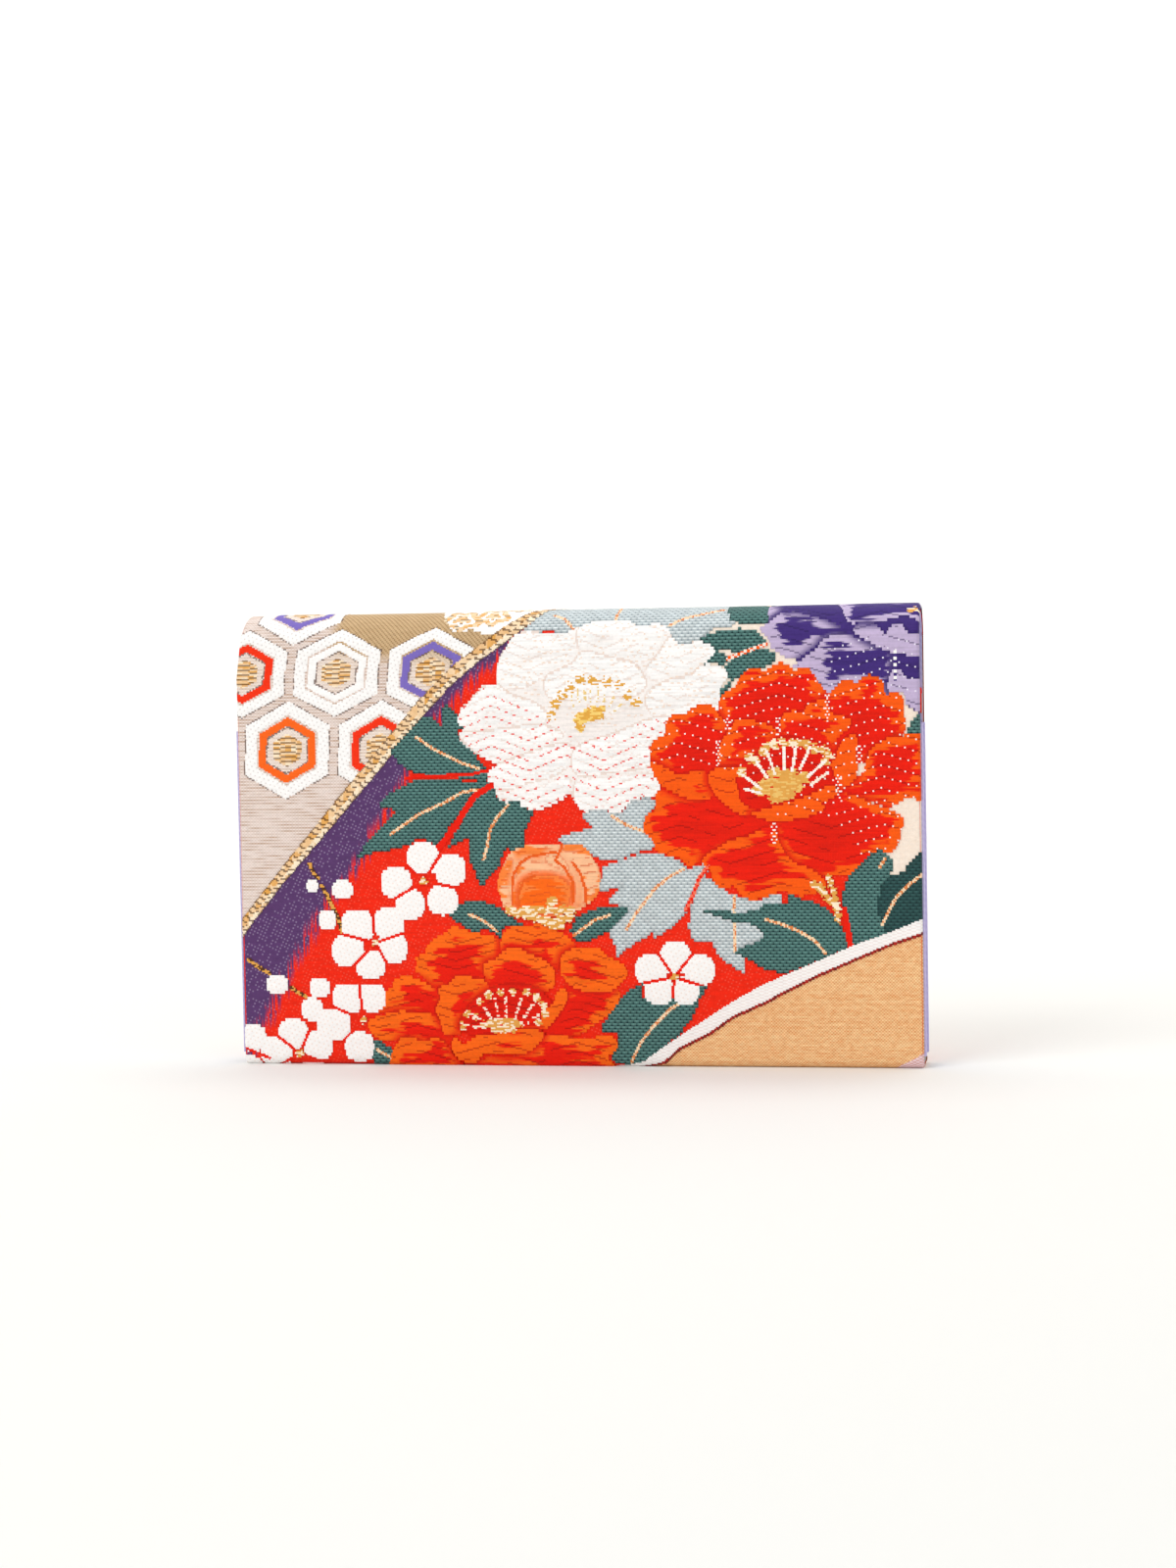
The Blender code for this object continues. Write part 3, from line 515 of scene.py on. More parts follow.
def weave_hexagons(cells):
    """The lattice over a beige ground: a cell's nearest hexagon, and its size there, pick the band.

    The ground is khaki above a level line and lilac below it. The bands are painted from the outline
    inwards, each over the one before.
    """
    region = cells.x < (x_at(CORD_LEFT, cells.h) + x_at(CORD_RIGHT, cells.h)) / 2
    i, j = np.floor(cells.x / CELL), np.floor(cells.h / CELL)
    right_of_corner, above_corner = cells.x - KHAKI_CORNER[0], cells.h - KHAKI_CORNER[1]
    upper = smooth(-2, 4, above_corner + 0.1 * right_of_corner)
    upper = upper * np.maximum(smooth(-6, 0, right_of_corner), cells.h > H_FOLD_END)
    streaks = weft_streaks(cells.x, cells.h, 3.5, 21)
    lower_threads = np.clip(0.25 * ((i + j) % 2) + 0.75 * streaks * (j % 2), 0, 1)
    upper_threads = 0.7 * ((i + j) % 3 == 0) + 0.2 * streaks
    lower = mix(LILAC_BEIGE, dyed(190, 156, 132), lower_threads)
    ground = mix(lower, mix(KHAKI, dyed(158, 122, 78), upper_threads), upper)
    cells.paint(region, ground, 0.08, "woven_hexagons")
    straight = cells.x - HEX_LEAN * (cells.h - HEX_FIRST[1])
    best = np.full(cells.x.shape, 9.0)
    which = np.zeros(cells.x.shape, int)
    for row in range(-1, 7):
        for column in range(8):
            if (row, column) in LEFT_OUT:
                continue
            centre_h = HEX_FIRST[1] + row * HEX_ROW
            centre_x = HEX_FIRST[0] + (column + 0.5 * (row % 2)) * HEX_PITCH
            half_height = HEX_HALF_HEIGHTS.get(row, HEX_HALF_HEIGHT)
            size = hexagon_size(straight, cells.h, centre_x, centre_h, half_height)
            closer = size < best
            best = np.where(closer, size, best)
            which = np.where(closer, RINGS.get((row, column), (2 * row + 3 * column) % 4), which)
    shade = 0.96 + 0.06 * weft_streaks(cells.x, cells.h, 2.2, 22)
    rings = np.array(RING_ORDER)[which]
    stitched = mix(ground, dyed(96, 74, 66), 0.8 * (grain(i, j, 23) > 0.35))
    dots = mix(WHITE * shade[..., None], dyed(206, 196, 192), 0.5 * ((i + 3 * j) % 8 == 0))
    lines = (j + np.floor(0.8 * np.sin(cells.x / 1.6))) % 3 == 0
    gold = mix(GOLD, GOLD_LIGHT, grain(np.floor(cells.x / 2.0), j, 25))
    bands = [
        (1.0, stitched, 0.1),
        (0.972, dots, 0.36),
        (0.71, ground, 0.1),
        (0.66, rings * shade[..., None], 0.32),
        (0.49, stitched, 0.1),
        (0.45, mix(ground, CREAM, 0.35), 0.1),
        (0.33, mix(gold, GOLD_DARK, 0.75 * lines), 0.32),
    ]
    for size, colour, lift in bands:
        cells.paint(region & (best < size), colour, lift)


weave_hexagons(paper.window([(-112, 30), (60, 168)]))
print("hexagon cells:", int((paper.piece == PIECES.index("woven_hexagons")).sum()))

# %% [markdown]
# ## The twisted cord
#
# A gold cord runs down the slant: short level floats of gold and white, one above the other like stairs,
# with a painted shadow at the foot of each float.

# %% Cord along the slant
CORD_STAIR = 1.5
CORD_TILT = 0.22


def weave_cord(sheet):
    """Two columns of level floats, the right one half a stair lower, each float its own shade of gold."""
    outline = np.vstack([CORD_RIGHT, CORD_LEFT[::-1]])
    cells = sheet.window(outline)
    left, right = x_at(CORD_LEFT, cells.h), x_at(CORD_RIGHT, cells.h)
    across = (cells.x - left) / np.maximum(right - left, 1)
    on = inside(cells.x, cells.h, outline)
    column = across + 0.12 * (grain(np.floor(cells.h / 1.0), 5, 30) - 0.5) > 0.6
    stairs = (cells.h + CORD_TILT * (cells.x - left)) / CORD_STAIR + 0.5 * column
    stair = np.floor(stairs)
    # Painted shadow along the lowest third of each stair, where one float lies under the next; the cord is
    # also sunk there.
    shadow = (stairs - stair < 0.34) & (grain(stair, np.floor(cells.x / 2.0) + 9 * column, 33) > 0.22)
    light = grain(stair, np.floor(cells.x / 2.5) + 7 * column, 32)
    colour = mix(GOLD, GOLD_LIGHT, np.clip(light * 0.75 + 0.45 * column, 0, 1))
    colour = mix(colour, GOLD_DARK, 0.82 * shadow)
    ends = ((across < 0.08) | (across > 0.95)) & (grain(stair, 3, 34) > 0.35)
    colour = mix(colour, GOLD_DARK, 0.7 * ends)
    rope = 0.25 + 0.35 * np.sqrt(np.clip(1 - (2 * across - 1) ** 2, 0, 1)) - 0.12 * shadow
    cells.paint(on, colour, rope, "woven_cord")


weave_cord(paper)

SCROLL = ["-37 142.5 6.5 4.2", "-27 143.5 5.5 4.2", "-19.5 145 4 3"]
SCROLL_FIELD = flat("-44.5 146, -43 142.5, -39 139, -33 139.5, -27 137.5, -22 140, -17 143.5, -14 146")
SCROLL_FIELD = np.vstack([SCROLL_FIELD, [(-14, 152), (-44, 152)]])
cells = paper.window(SCROLL_FIELD)
on = inside(cells.x, np.floor(cells.h) + 0.5, SCROLL_FIELD) & (cells.piece == PIECES.index("woven_hexagons"))
cells.paint(on, WHITE, 0.36)
for text in SCROLL:
    middle_x, middle_z, reach_x, reach_h = (float(n) for n in text.split())
    middle_h = flat(f"{middle_x} {middle_z}")[0, 1]
    size = np.hypot((cells.x - middle_x) / reach_x, (cells.h - middle_h) / reach_h)
    size = size + 0.14 * np.sin(5 * np.arctan2(cells.h - middle_h, cells.x - middle_x))
    floats = grain(np.floor(cells.x / 1.5), np.floor(cells.h / CELL), 41)
    gold = mix(mix(GOLD, GOLD_LIGHT, floats), GOLD_DARK, 0.7 * (floats > 0.86))
    cells.paint(on & (size < 1) & (np.abs(size - 0.5) > 0.1), gold, 0.42)
print("cord cells:", paper.count("woven_cord"))

# %% [markdown]
# ## Leaves
#
# The leaves are woven as bricks: short light floats with dark gaps, each row shifted by half a float. The
# outline climbs in the same steps as the bricks, because the loom can only change colour between them.
# So the cells are first moved to the corner of their own brick, and only then tested against the outline.

# %% Leaf weave
BRICK = (2.0, 1.0)
STEP = (1.0, 1.0)
VEIN_HALF = 0.48
# Share of the light thread in each cell of a brick: the float against the gap, with a painted highlight on
# the float's top row and painted shade at its lower left.
BRICK_FLOATS_AND_TOP_LIGHT = np.array([[0.0, 0.3, 0.42, 0.3], [0.4, 0.85, 1.0, 0.75]])


def brick_weave(x, h, light, gap, seed):
    """Colour and height of brick floats, four cells by two: float against dark gap, with a painted highlight
    along the top and painted shade at the lower left.
    """
    row = np.floor(h / BRICK[1])
    place = (x + 400) / BRICK[0] + 0.5 * (row % 2)
    brick = np.floor(place)
    across = np.floor((place - brick) * 4).astype(int)
    upper = (h / BRICK[1] - row > 0.5).astype(int)
    body = BRICK_FLOATS_AND_TOP_LIGHT[upper, across]
    shine = 0.92 + 0.18 * grain(brick, row, seed + 1)
    return mix(gap, light, body) * shine[..., None], 0.2 + 0.2 * body


def weave_leaf(outline, veins, light, gap, piece, seed):
    """One leaf: brick floats inside a stepped outline, with stitched veins."""
    line = curved(flat(outline))
    cells = paper.window(line)
    x, h = (np.floor(v / s) * s + s / 2 for v, s in zip((cells.x, cells.h), STEP))
    on = inside(x, h, line)
    colour, lift = brick_weave(cells.x, cells.h, light, gap, seed)
    edge = smooth(0, 1.2, distance_to(cells.x, cells.h, line))
    cells.paint(on, colour * (0.82 + 0.18 * edge)[..., None], lift + 0.12 * edge, piece)
    for vein in veins:
        near = distance_to(cells.x, cells.h, flat(vein), closed=False)
        stitch = grain(np.floor(cells.x / CELL), np.floor(cells.h / CELL), seed + 2) > 0.38
        cells.paint(on & (near < VEIN_HALF), mix(VEIN, VEIN_LIGHT, 1.0 * stitch), 0.42)


print("a brick float is", BRICK[0], "mm long and", BRICK[1], "mm high")

# %% [markdown]
# ## Pale leaves
#
# The pale leaves fill the gaps between the flowers. They are written as rows of corners, because a leaf has
# notches and lobes that no single formula would give.

# %% Outlines of the pale leaves
PALE_LEAVES = [
    ("-5 72.5, -2 74.3, 3 75.5, 6 75.9, 4 78.5, 3 80.5, 8 82.4, 14 80.7, 17 83, 19 85, 25.5 85.5, "
     "26.5 83, 23.5 80, 22.5 77, 23.5 74, 26.5 72.5, 25.3 69.7, 20 68.3, 14 66, 9 66, 4 69, -3 71",
     ["12.3 80, 17 77, 21 75.5, 23.5 74.8"]),
    ("9 63.8, 13 65, 20 67.5, 26 68.5, 30 67, 33.3 66, 36 63.3, 41 64.5, 44.5 65.5, 42 61, 39.5 57, "
     "37 53, 34 47, 27 42, 25.5 41.3, 25 43, 22 41, 17 38, 12.8 34.5, 12.5 39.5, 10.3 44, 13 45.5, "
     "16 49, 17.5 50.5, 11 52.5, 12 55, 15.5 57.5, 8 56, 7.5 58, 9 61",
     ["35 63, 31 61, 26 57, 22 52, 20 49.5, 16.5 44"]),
    ("40.5 59.8, 44 59.8, 47 57, 53 54, 60 53.5, 64 55.5, 66 53, 62 48, 61 42, 57 39.5, 53 38, 54 35, "
     "54.3 29.8, 52 31, 47 34.5, 44.5 38, 43 40, 38 40, 36.5 44, 37 50, 39 56",
     ["51.5 57, 50.7 50, 51.2 46, 51 37"]),
    ("-17 137, -16 139.5, -12 143, -8 145, 0 146, 6 145, 8 141, 2 139.3, 1 136.5, -3 138, -10 138.5",
     ["-7 143.3, -3 142, 0 139, 1.2 136.7"]),
    ("6 143, 5 146, 24 146, 22 141, 14 139", ["14.2 146, 13.5 141.5"]),
    ("20 140, 24 146, 52 146, 52 140, 45 138.5, 41.5 135.5, 38 134, 32 134, 29 138",
     ["31 139.5, 35 141.5, 42 143, 48 144"]),
]
for number, (outline, veins) in enumerate(PALE_LEAVES):
    weave_leaf(outline, veins, PALE, PALE_GAP, "leaves_pale", 50 + number)
print("pale leaves:", len(PALE_LEAVES))

# %% [markdown]
# ## Dark leaves
#
# The dark blue leaves are woven in two shades with light veins. They use the same weave as the pale ones,
# so only their outlines, their veins and their threads are new.

# %% Outlines of the dark leaves
FIRST_TOP_LEAF = 6
DARK_LEAVES = [
    ("-27.4 90.7, -36 91.5, -46 92.3, -52 91.5, -58.5 88.2, -63.6 84, -57.8 81.8, -64 76, -68 71.5, "
     "-71 66.7, -66 68.6, -60 69.5, -53 71.5, -50.5 73.5, -44.5 71.3, -41 76, -38.5 79, -33 86, -30 88.5",
     ["-31 88.7, -36 87.7, -42 84.5, -50 81, -56 77, -59.7 74.5"]),
    ("-46.5 112.5, -42.3 109.3, -41.3 115.6, -38.5 114, -34 109.2, -37 107, -33 101.5, -27.3 94, "
     "-28.3 91.4, -38 92.6, -48 93.5, -53 94.8, -57 98, -58.5 101.5, -54.5 106, -50.5 110",
     ["-50.5 105.5, -45 101.7, -36 97.2, -30.5 95.3"]),
    ("-41.5 48.7, -38.5 51, -35 53, -30 52.9, -25 51, -21.5 48.5, -16.3 44.7, -20 45.5, -23.5 43.8, "
     "-24.5 41, -28 43.5, -34 43.5, -38 46",
     ["-34.3 48.7, -29.5 46.5, -25.5 43.2"]),
    ("-1.5 44, 0.5 47.5, 5 49.8, 9 51.2, 14 51.3, 17.2 50.2, 15 48, 12 44.5, 9 42.5, 5 40.5, 1.5 39.6, "
     "-1 41.5",
     ["11 48.3, 6.5 47, 3 44.5, -0.5 42"]),
    ("22.3 27.3, 20 26, 16 23.8, 12 19, 10 16, 7.8 12, 10 11.3, 13.3 10, 13 6.5, 10.8 4, 13 1, 21.5 1, "
     "26 5, 31 9, 34.5 12.5, 37.5 17, 39.5 21.5, 41.7 26.3, 36 26.5, 31 26, 27 24.5, 23 21.7, 20.7 22, "
     "21 25",
     ["34.3 21, 30 18.5, 25 13.5, 20.5 8, 17.3 1.5"]),
    ("-71 6.8, -68 8, -65 7.8, -61 5.5, -56.3 3.2, -60 1, -66 0.5, -68 3", ["-65.5 4.8, -60.5 2.2"]),
    ("41.1 135.2, 45 137, 50 138.3, 57.5 138, 62.5 134.2, 59 132, 54.5 130.8, 46.7 132.5, 43.5 129.5, "
     "42.3 127, 45 127.8, 49 127.5, 49.5 130",
     []),
    ("50 128, 55 130.8, 60 132, 65.3 130.2, 63 127, 61 126, 53 123, 50 119.5, 47.5 117, 46.5 119, "
     "50.5 122, 49.5 125.5",
     []),
    ("50 141.5, 50 146, 66 146, 67 142.8, 63 140, 57.5 139.8, 52 140.5", ["61 146, 66 142.8"]),
    ("113 113, 110 112, 106 106, 110 104, 113 103", []),
]
for number, (outline, veins) in enumerate(DARK_LEAVES):
    piece = "leaves_dark" if number < FIRST_TOP_LEAF else "leaves_top"
    weave_leaf(outline, veins, TEAL, TEAL_GAP, piece, 70 + number)


def weave_line(line, width, colour, other, piece, lift=0.4, within=False, sheet=paper):
    """A stitched line: cells near a line, in two colours by turns, or only those within its own piece."""
    points = points_of(line)
    cells = sheet.window(points, width + 1)
    if cells is None:
        return
    on = distance_to(cells.x, cells.h, points, closed=False) < width / 2
    if within:
        on &= cells.piece == PIECES.index(piece)
    turn = (np.floor(cells.h) + np.floor(cells.x)) % 2
    cells.paint(on, mix(colour, other, turn), lift, piece)


weave_line("50 129, 55 131, 62 133.5", 1.2, CREAM, ORANGE, "leaves_top")
weave_line("-24 95.5, -33 93.5, -46 93, -54 92.6", 1.0, RED_DEEP, RED_DEEP, "leaves_dark", 0.2)
print("dark leaves:", len(DARK_LEAVES))

# %% [markdown]
# ## Peonies
#
# A peony petal is long satin floats. From the heart to the rim the weaver changes red thread for orange,
# never on one line but in flames, each pick a little further or shorter. One could paint a smooth gradient;
# here the share of the way to the rim is pushed back and forth by streak noise, then cut sharply.

# %% Binding points and petals


def binding_rows(x, h, spacing, reach, peak, half_wave):
    """Number of a cell's zigzag row, and its height over the row's middle. Rows are highest at the peak."""
    wave = np.abs(np.mod((x - peak) / (2 * half_wave), 1) - 0.5) * 2
    v = (h - reach * wave) / spacing
    row = np.floor(v)
    return row, (v - row - 0.5) * spacing


ZIGZAG_RIGHT = (3.7, 4.8, 66.0, 16.0)
ZIGZAG_LEFT = (2.7, 3.6, -26.0, 13.0)


def flames(x, h, seed):
    """Streaks in three sizes, for the boundary between two threads, from -0.5 to 0.5."""
    large = weft_streaks(x, np.floor(h / 2.0) * 2.0, 12.0, seed)
    middle = weft_streaks(x, np.floor(h / 1.0) * 1.0, 7.0, seed + 1)
    return 0.5 * large + 0.35 * middle + 0.15 * weft_streaks(x, h, 4.0, seed + 2) - 0.5


BINDING_HALF = 0.26
RIM_REACH = 9.0
FLAME_REACH = 8.0
SHADOW_REACH = 3.2


def weave_petal(outline, heart, inner, rim, piece, level, seed, rim_from, dark, rows, slit=0.6):
    """One petal of satin floats: rim thread along the outline, inner thread within.

    The rim is RIM_REACH * (1 - rim_from) wide where the petal is farthest from the heart and narrows towards
    it, and flames push its inner border in and out. Dark slits lie in strokes along the binding rows.
    Just outside the petal the flower turns back to its inner thread under a painted shadow of the petal,
    darkest at the very edge. The petal swells by the square root of the distance from its outline.
    """
    line = curved(flat(outline))
    cells = paper.window(line, 2.0)
    on = inside(cells.x, np.floor(cells.h) + 0.5, line)
    edge = distance_to(cells.x, cells.h, line)
    # Painted shadow of this petal on the petals woven before it in the same piece: partly the flower's own
    # inner thread, and darker towards the dark thread, most within 0.6 mm of the edge.
    under = ~on & (edge < SHADOW_REACH) & (cells.piece == PIECES.index(piece))
    fall = 1 - smooth(0.2, SHADOW_REACH, edge)
    cells.colour[under] = mix(cells.colour, mix(inner, dark, 0.12 + 0.4 * (edge < 0.6)), 0.9 * fall)[under]
    far = np.hypot(cells.x - heart[0], cells.h - heart[1])
    near, farthest = far[on].min(), far[on].max()
    out = np.clip((far - near) / max(farthest - near, 1), 0, 1)
    rim_width = RIM_REACH * (1 - rim_from) * (0.45 + 0.9 * out)
    depth = edge + FLAME_REACH * flames(cells.x, cells.h, seed)
    colour = mix(rim, inner, smooth(rim_width - 0.5, rim_width + 0.5, depth))
    colour = mix(colour, mix(inner, dark, 0.2), smooth(rim_width + 3, rim_width + 9, depth))
    row, over = binding_rows(cells.x, cells.h, *rows)
    strokes = grain(np.floor((cells.x + 1.3 * row) / 3.5), row, seed + 3) > 0.28
    slits = strokes & (np.abs(over) < BINDING_HALF) & (edge > 0.7)
    colour = mix(colour, dark, slit * slits)
    colour = colour * (0.9 + 0.16 * weft_streaks(cells.x, cells.h, 6.0, seed + 4))[..., None]
    swell = np.sqrt(np.clip(edge / 4, 0, 1))
    cells.paint(on, colour, level + 0.38 * swell - 0.08 * slits, piece)


def weave_flower(petals, heart, inner, rim, piece, level, seed, dark=DARK_RED, rows=ZIGZAG_RIGHT, slit=0.6):
    """Petals from back to front, each a little higher than the one before."""
    for number, (outline, rim_from) in enumerate(petals):
        own_level, own_seed = level + 0.03 * number, seed + 7 * number
        weave_petal(outline, heart, inner, rim, piece, own_level, own_seed, rim_from, dark, rows, slit)


print("binding rows on the right are", ZIGZAG_RIGHT[0], "mm apart")

# %% [markdown]
# ## Dots and gold stitches
#
# Small raised dots tie the petals down, and gold thread makes stamens, twigs and stems. Beads and thin
# curves could stand for them, but on the loom they are stitches of one or two cells, so they are cells here.

# %% Dots and gold stitches
DOTS_APART, DOT_WIDTH = 2.5, 0.5


def weave_dots(outline, colour, piece):
    """Raised binding points of another thread along the rows of a piece, inside an outline."""
    cells = paper.window(outline)
    row, over = binding_rows(cells.x, cells.h, *ZIGZAG_RIGHT)
    on = (np.abs(over) < BINDING_HALF) & (np.mod(cells.x + 0.5 * DOTS_APART * row, DOTS_APART) < DOT_WIDTH)
    on &= inside(cells.x, cells.h, outline) & (cells.piece == PIECES.index(piece))
    cells.colour[on] = colour
    cells.lift[on] += 0.05


def weave_floats(line, colour, other, piece, width, lift, seed, sheet=paper):
    """Gold floats: level stitches of two threads within a width of a short line or of one point."""
    points = points_of(line)
    cells = sheet.window(points, width + 1)
    if len(points) == 1:
        near = np.hypot(cells.x - points[0, 0], cells.h - points[0, 1])
    else:
        near = distance_to(cells.x, cells.h, points, closed=False)
    pick = np.floor(cells.h / CELL)
    turn = grain(np.floor(cells.x / 1.2 + 0.5 * (pick % 2)), pick, seed) > 0.58
    ragged = 0.9 * (grain(np.floor(cells.x / 1.0), pick, seed + 1) - 0.5) if width > 1.5 else 0
    cells.paint(near + ragged < width / 2, mix(colour, other, turn * 1.0), lift, piece)


def weave_each(lines, *thread):
    """The same floats along several short lines, given as one text with semicolons between them."""
    for line in lines.split(";"):
        weave_floats(line, *thread)


print("dots are", DOTS_APART, "mm apart")

# %% [markdown]
# ## Purple peony
#
# Every peony is a few petals that lie over one another, the ones behind first. A single outline with painted
# lines would be quicker, but separate petals give each its own height and its own rim.

# %% Purple peony
PURPLE_HEART = (112.0, 140.0)
PURPLE_PETALS = [
    ("60 138, 62.5 140, 64 146, 88 146, 112 146, 112 130, 112 112, 106 114, 105 117.5, 100 117, 97 119, "
     "88 120, 82 118, 77 122, 75 125, 71 129, 66 131, 63 135", 0.5),
    ("60 138, 62.5 140, 66 142.5, 70 143.2, 75 142, 85 139, 91 135, 86 136, 81 135, 74 130, 71 129, "
     "68.5 129.3, 66 131, 63.5 132.5, 63 135", 0.66),
    ("66 144.5, 66 146, 90 146, 89 138.5, 87 137.8, 84 139.5, 80 141.5, 72 143.2, 68 143.2", 1.4),
    ("70.5 126, 74 129, 78 132, 80 134.5, 84 136, 88 136, 92 134.5, 102 131, 102 121, 100 117, 97 119, "
     "88 120, 82 118, 77 122, 75 125", 0.6),
    ("102 130.5, 103.5 130.3, 112 130.3, 112 121, 104 121, 102 125", 1.4),
    ("90 138.5, 92 139.8, 96 139.5, 99.5 136, 101 138, 104 139, 107.5 136, 112 136.5, 112 130, "
     "102.5 130, 94 134, 89.5 136.8", 0.1),
    ("86 143, 86 146, 112 146, 112 140, 106 141.3, 101 140.5, 97 139.5, 92 139.8, 88.5 139.5", 0.78),
    ("102 125, 104 125, 106 122.5, 112 120.5, 112 112, 106 114, 105 117.5, 100.5 118, 100.5 122", 0.1),
]
PURPLE_SHADE = dyed(44, 28, 84)
weave_flower(PURPLE_PETALS, PURPLE_HEART, PURPLE_DEEP, LILAC, "peony_purple", 0.2, 100, PURPLE_SHADE)
weave_dots(flat("82 135, 82 118, 112 118, 112 135"), dyed(236, 228, 244), "peony_purple")
weave_line("102.5 122, 102.5 130.3", 1.0, WHITE, PURPLE_DEEP, "peony_purple", 0.5, within=True)
weave_floats("107.5 143, 109 143", GOLD, GOLD_LIGHT, "peony_purple", 2.2, 0.55, 3)
print("purple petals:", len(PURPLE_PETALS))

# %% [markdown]
# ## White peony
#
# The white flower is nearly one colour, so its petals show by painted shadows, grey at the seams and fading
# away from them. Gold stamens with round ends stand over them as long loose threads, which are thin lines of
# a greater height.

# %% White peony
WHITE_HEART = (6.0, 111.0)
WHITE_OUTLINE = (
    "-15.5 139, -10 138.3, -3 138, 2 139.5, 8 141.5, 12 141.8, 18 141.3, 21 139.8, 28 140.3, 32 136.5, "
    "31.5 134, 35 133.5, 41 134.8, 46 132, 42.5 127.5, 49 126, 50 123, 47.5 120, 46.8 113.5, 43 110, "
    "38 108, 31 105, 30 98, 28.2 89.5, 25.5 86, 19 85, 14.5 80.7, 9 82.5, 3.5 81.5, 0.3 85, -1.3 86.8, "
    "-5 84.5, -12 82, -18 85, -22 84.3, -25 87, -27.3 92, -25 96, -23.5 98, -30 99.5, -35.5 103.5, "
    "-36.5 106, -34.5 109, -36 112, -36 114.5, -33.5 116.5, -28.5 122, -23 122, -24 128, -22 133, -19 137"
)
WHITE_PETALS = [
    "-24 126, -22 133, -18 138, -10 138.3, -3 138, 2 139.5, 4 134, 0 129, -8 125, -16 121, -23 121.5",
    "2 139.5, 8 141.5, 12 141.8, 18 141.3, 21 139.8, 28 140.3, 32 136.5, 28 131, 20 128, 10 129, 3 132",
    "28 131, 32 136.5, 35 133.5, 41 134.8, 46 132, 42.5 127.5, 38 123, 30 122, 24 125",
    "30 122, 38 124, 43 127.5, 49 126, 50 123, 47.5 120, 46.8 113.5, 40 110, 32 108, 26 112, 24 118",
    "-8 124, 0 128, 4 132, 12 130, 20 128, 24 122, 20 118, 10 118, 0 117, -7 118",
    "-36 109, -36.5 113, -33 116.5, -28.5 121, -24 122, -20 119, -12 116, -8 112, -12 108, -20 107, -28 106",
    "-36.5 106, -25 97, -15 99, -6 104, -3 106, -10 109, -20 108, -30 107",
    "-25.5 88, -20 85, -12 82, -5 84.5, -1.3 87, 0 90, -4 93, -14 91",
    "-27.5 93, -25 96, -14 100, -2 103, 0 98, -6 93, -14 91, -22 88.5, -26.5 90",
    "0.3 86, 3.5 81.5, 9 82.5, 14.5 80.7, 19 85, 25.5 86, 28 89.5, 25 93, 18 93, 8 92, 2 92",
    "25 96, 25 103, 30 106, 31 111, 24 110, 14 106, 4 103, 0 99, 2 93, 12 94",
]
RED_DASHES = flat(
    "-40 124, -22 119, -8 111, 2 104, 14 106, 30 112, 32 100, 27 88, 27 78, -30 78, -40 100"
)
WHITE_EDGE = dyed(216, 178, 156)
ZIGZAG_WHITE = (3.2, 5.0, -2.0, 12.0)
white_thread = (WHITE_HEART, WHITE, WHITE, "peony_white")
weave_flower([(WHITE_OUTLINE, 2.0)], *white_thread, 0.22, 200, WHITE_EDGE, ZIGZAG_WHITE, 0.1)
white_petals = [(outline, 0.8) for outline in WHITE_PETALS]
weave_flower(white_petals, *white_thread, 0.25, 210, WHITE_EDGE, ZIGZAG_WHITE, 0.3)


def weave_dashes(outline, colour, piece, rows, length, apart, share, missing):
    """Short floats of the ground thread along zigzag rows, sunk between the white floats, some missing."""
    cells = paper.window(outline)
    row, over = binding_rows(cells.x, cells.h, *rows)
    place = (cells.x + 0.37 * apart * row) / apart
    on = (np.abs(over) < BINDING_HALF) & ((place - np.floor(place)) * apart < length)
    on &= (grain(np.floor(place), row, 71) > missing) & inside(cells.x, cells.h, outline)
    on &= cells.piece == PIECES.index(piece)
    cells.colour[on] = mix(cells.colour, colour, share)[on]
    cells.lift[on] -= 0.08


weave_dashes(RED_DASHES, dyed(236, 56, 40), "peony_white", ZIGZAG_WHITE, 1.1, 2.5, 0.9, 0.12)
PALE_DASHES = flat("-24 140, -22 119, 14 107, 31 112, 52 110, 52 142")
weave_dashes(PALE_DASHES, dyed(236, 200, 168), "peony_white", (1.7, 2.0, 6.0, 14.0), 0.9, 2.0, 0.5, 0.55)
weave_dashes(RED_DASHES, dyed(240, 208, 196), "peony_white", (1.6, 2.2, 0.0, 13.0), 0.9, 2.2, 0.45, 0.5)
STAMEN_GOLD = dyed(230, 170, 70)
WHITE_ANTHERS = (
    "3.2 123.3; 7.4 122.8; 11.7 122.5; 15.5 121.3; 18 118.3; 21 115.7; 0 121; -2.8 118.5; -5 115.5;"
    "-6.5 111.8"
)
WHITE_STAMENS = (
    "1 114, 0 118.5; 2.6 115.5, 2.2 120; 4.6 116, 4.4 120.5; 6.4 116, 6.4 120.5; 8.4 116, 8.8 120.5;"
    "10.4 115.5, 11.2 119.8; 12.4 114.5, 14 118.5; 13 112.5, 16.5 115.5"
)
WHITE_MIDDLE = "2.5 111.5, 6 113.3, 10 113.8; 1.8 110, 6 111, 9.5 111.8; 2.5 108.5, 3.2 108"
weave_each(WHITE_ANTHERS, STAMEN_GOLD, WHITE, "peony_white", 3.4, 0.95, 5)
weave_each(WHITE_STAMENS, dyed(240, 208, 140), WHITE, "peony_white", 0.6, 0.9, 6)
weave_each(WHITE_MIDDLE, STAMEN_GOLD, dyed(250, 214, 120), "peony_white", 2.4, 0.95, 7)
print("white petals:", len(WHITE_PETALS))

# %% [markdown]
# ## Stem and the third dark leaf
#
# These lie over the white peony's lower edge, so they are woven after it. Every motif could be sorted by its
# height instead, but with so few layers the order of the cells is enough.

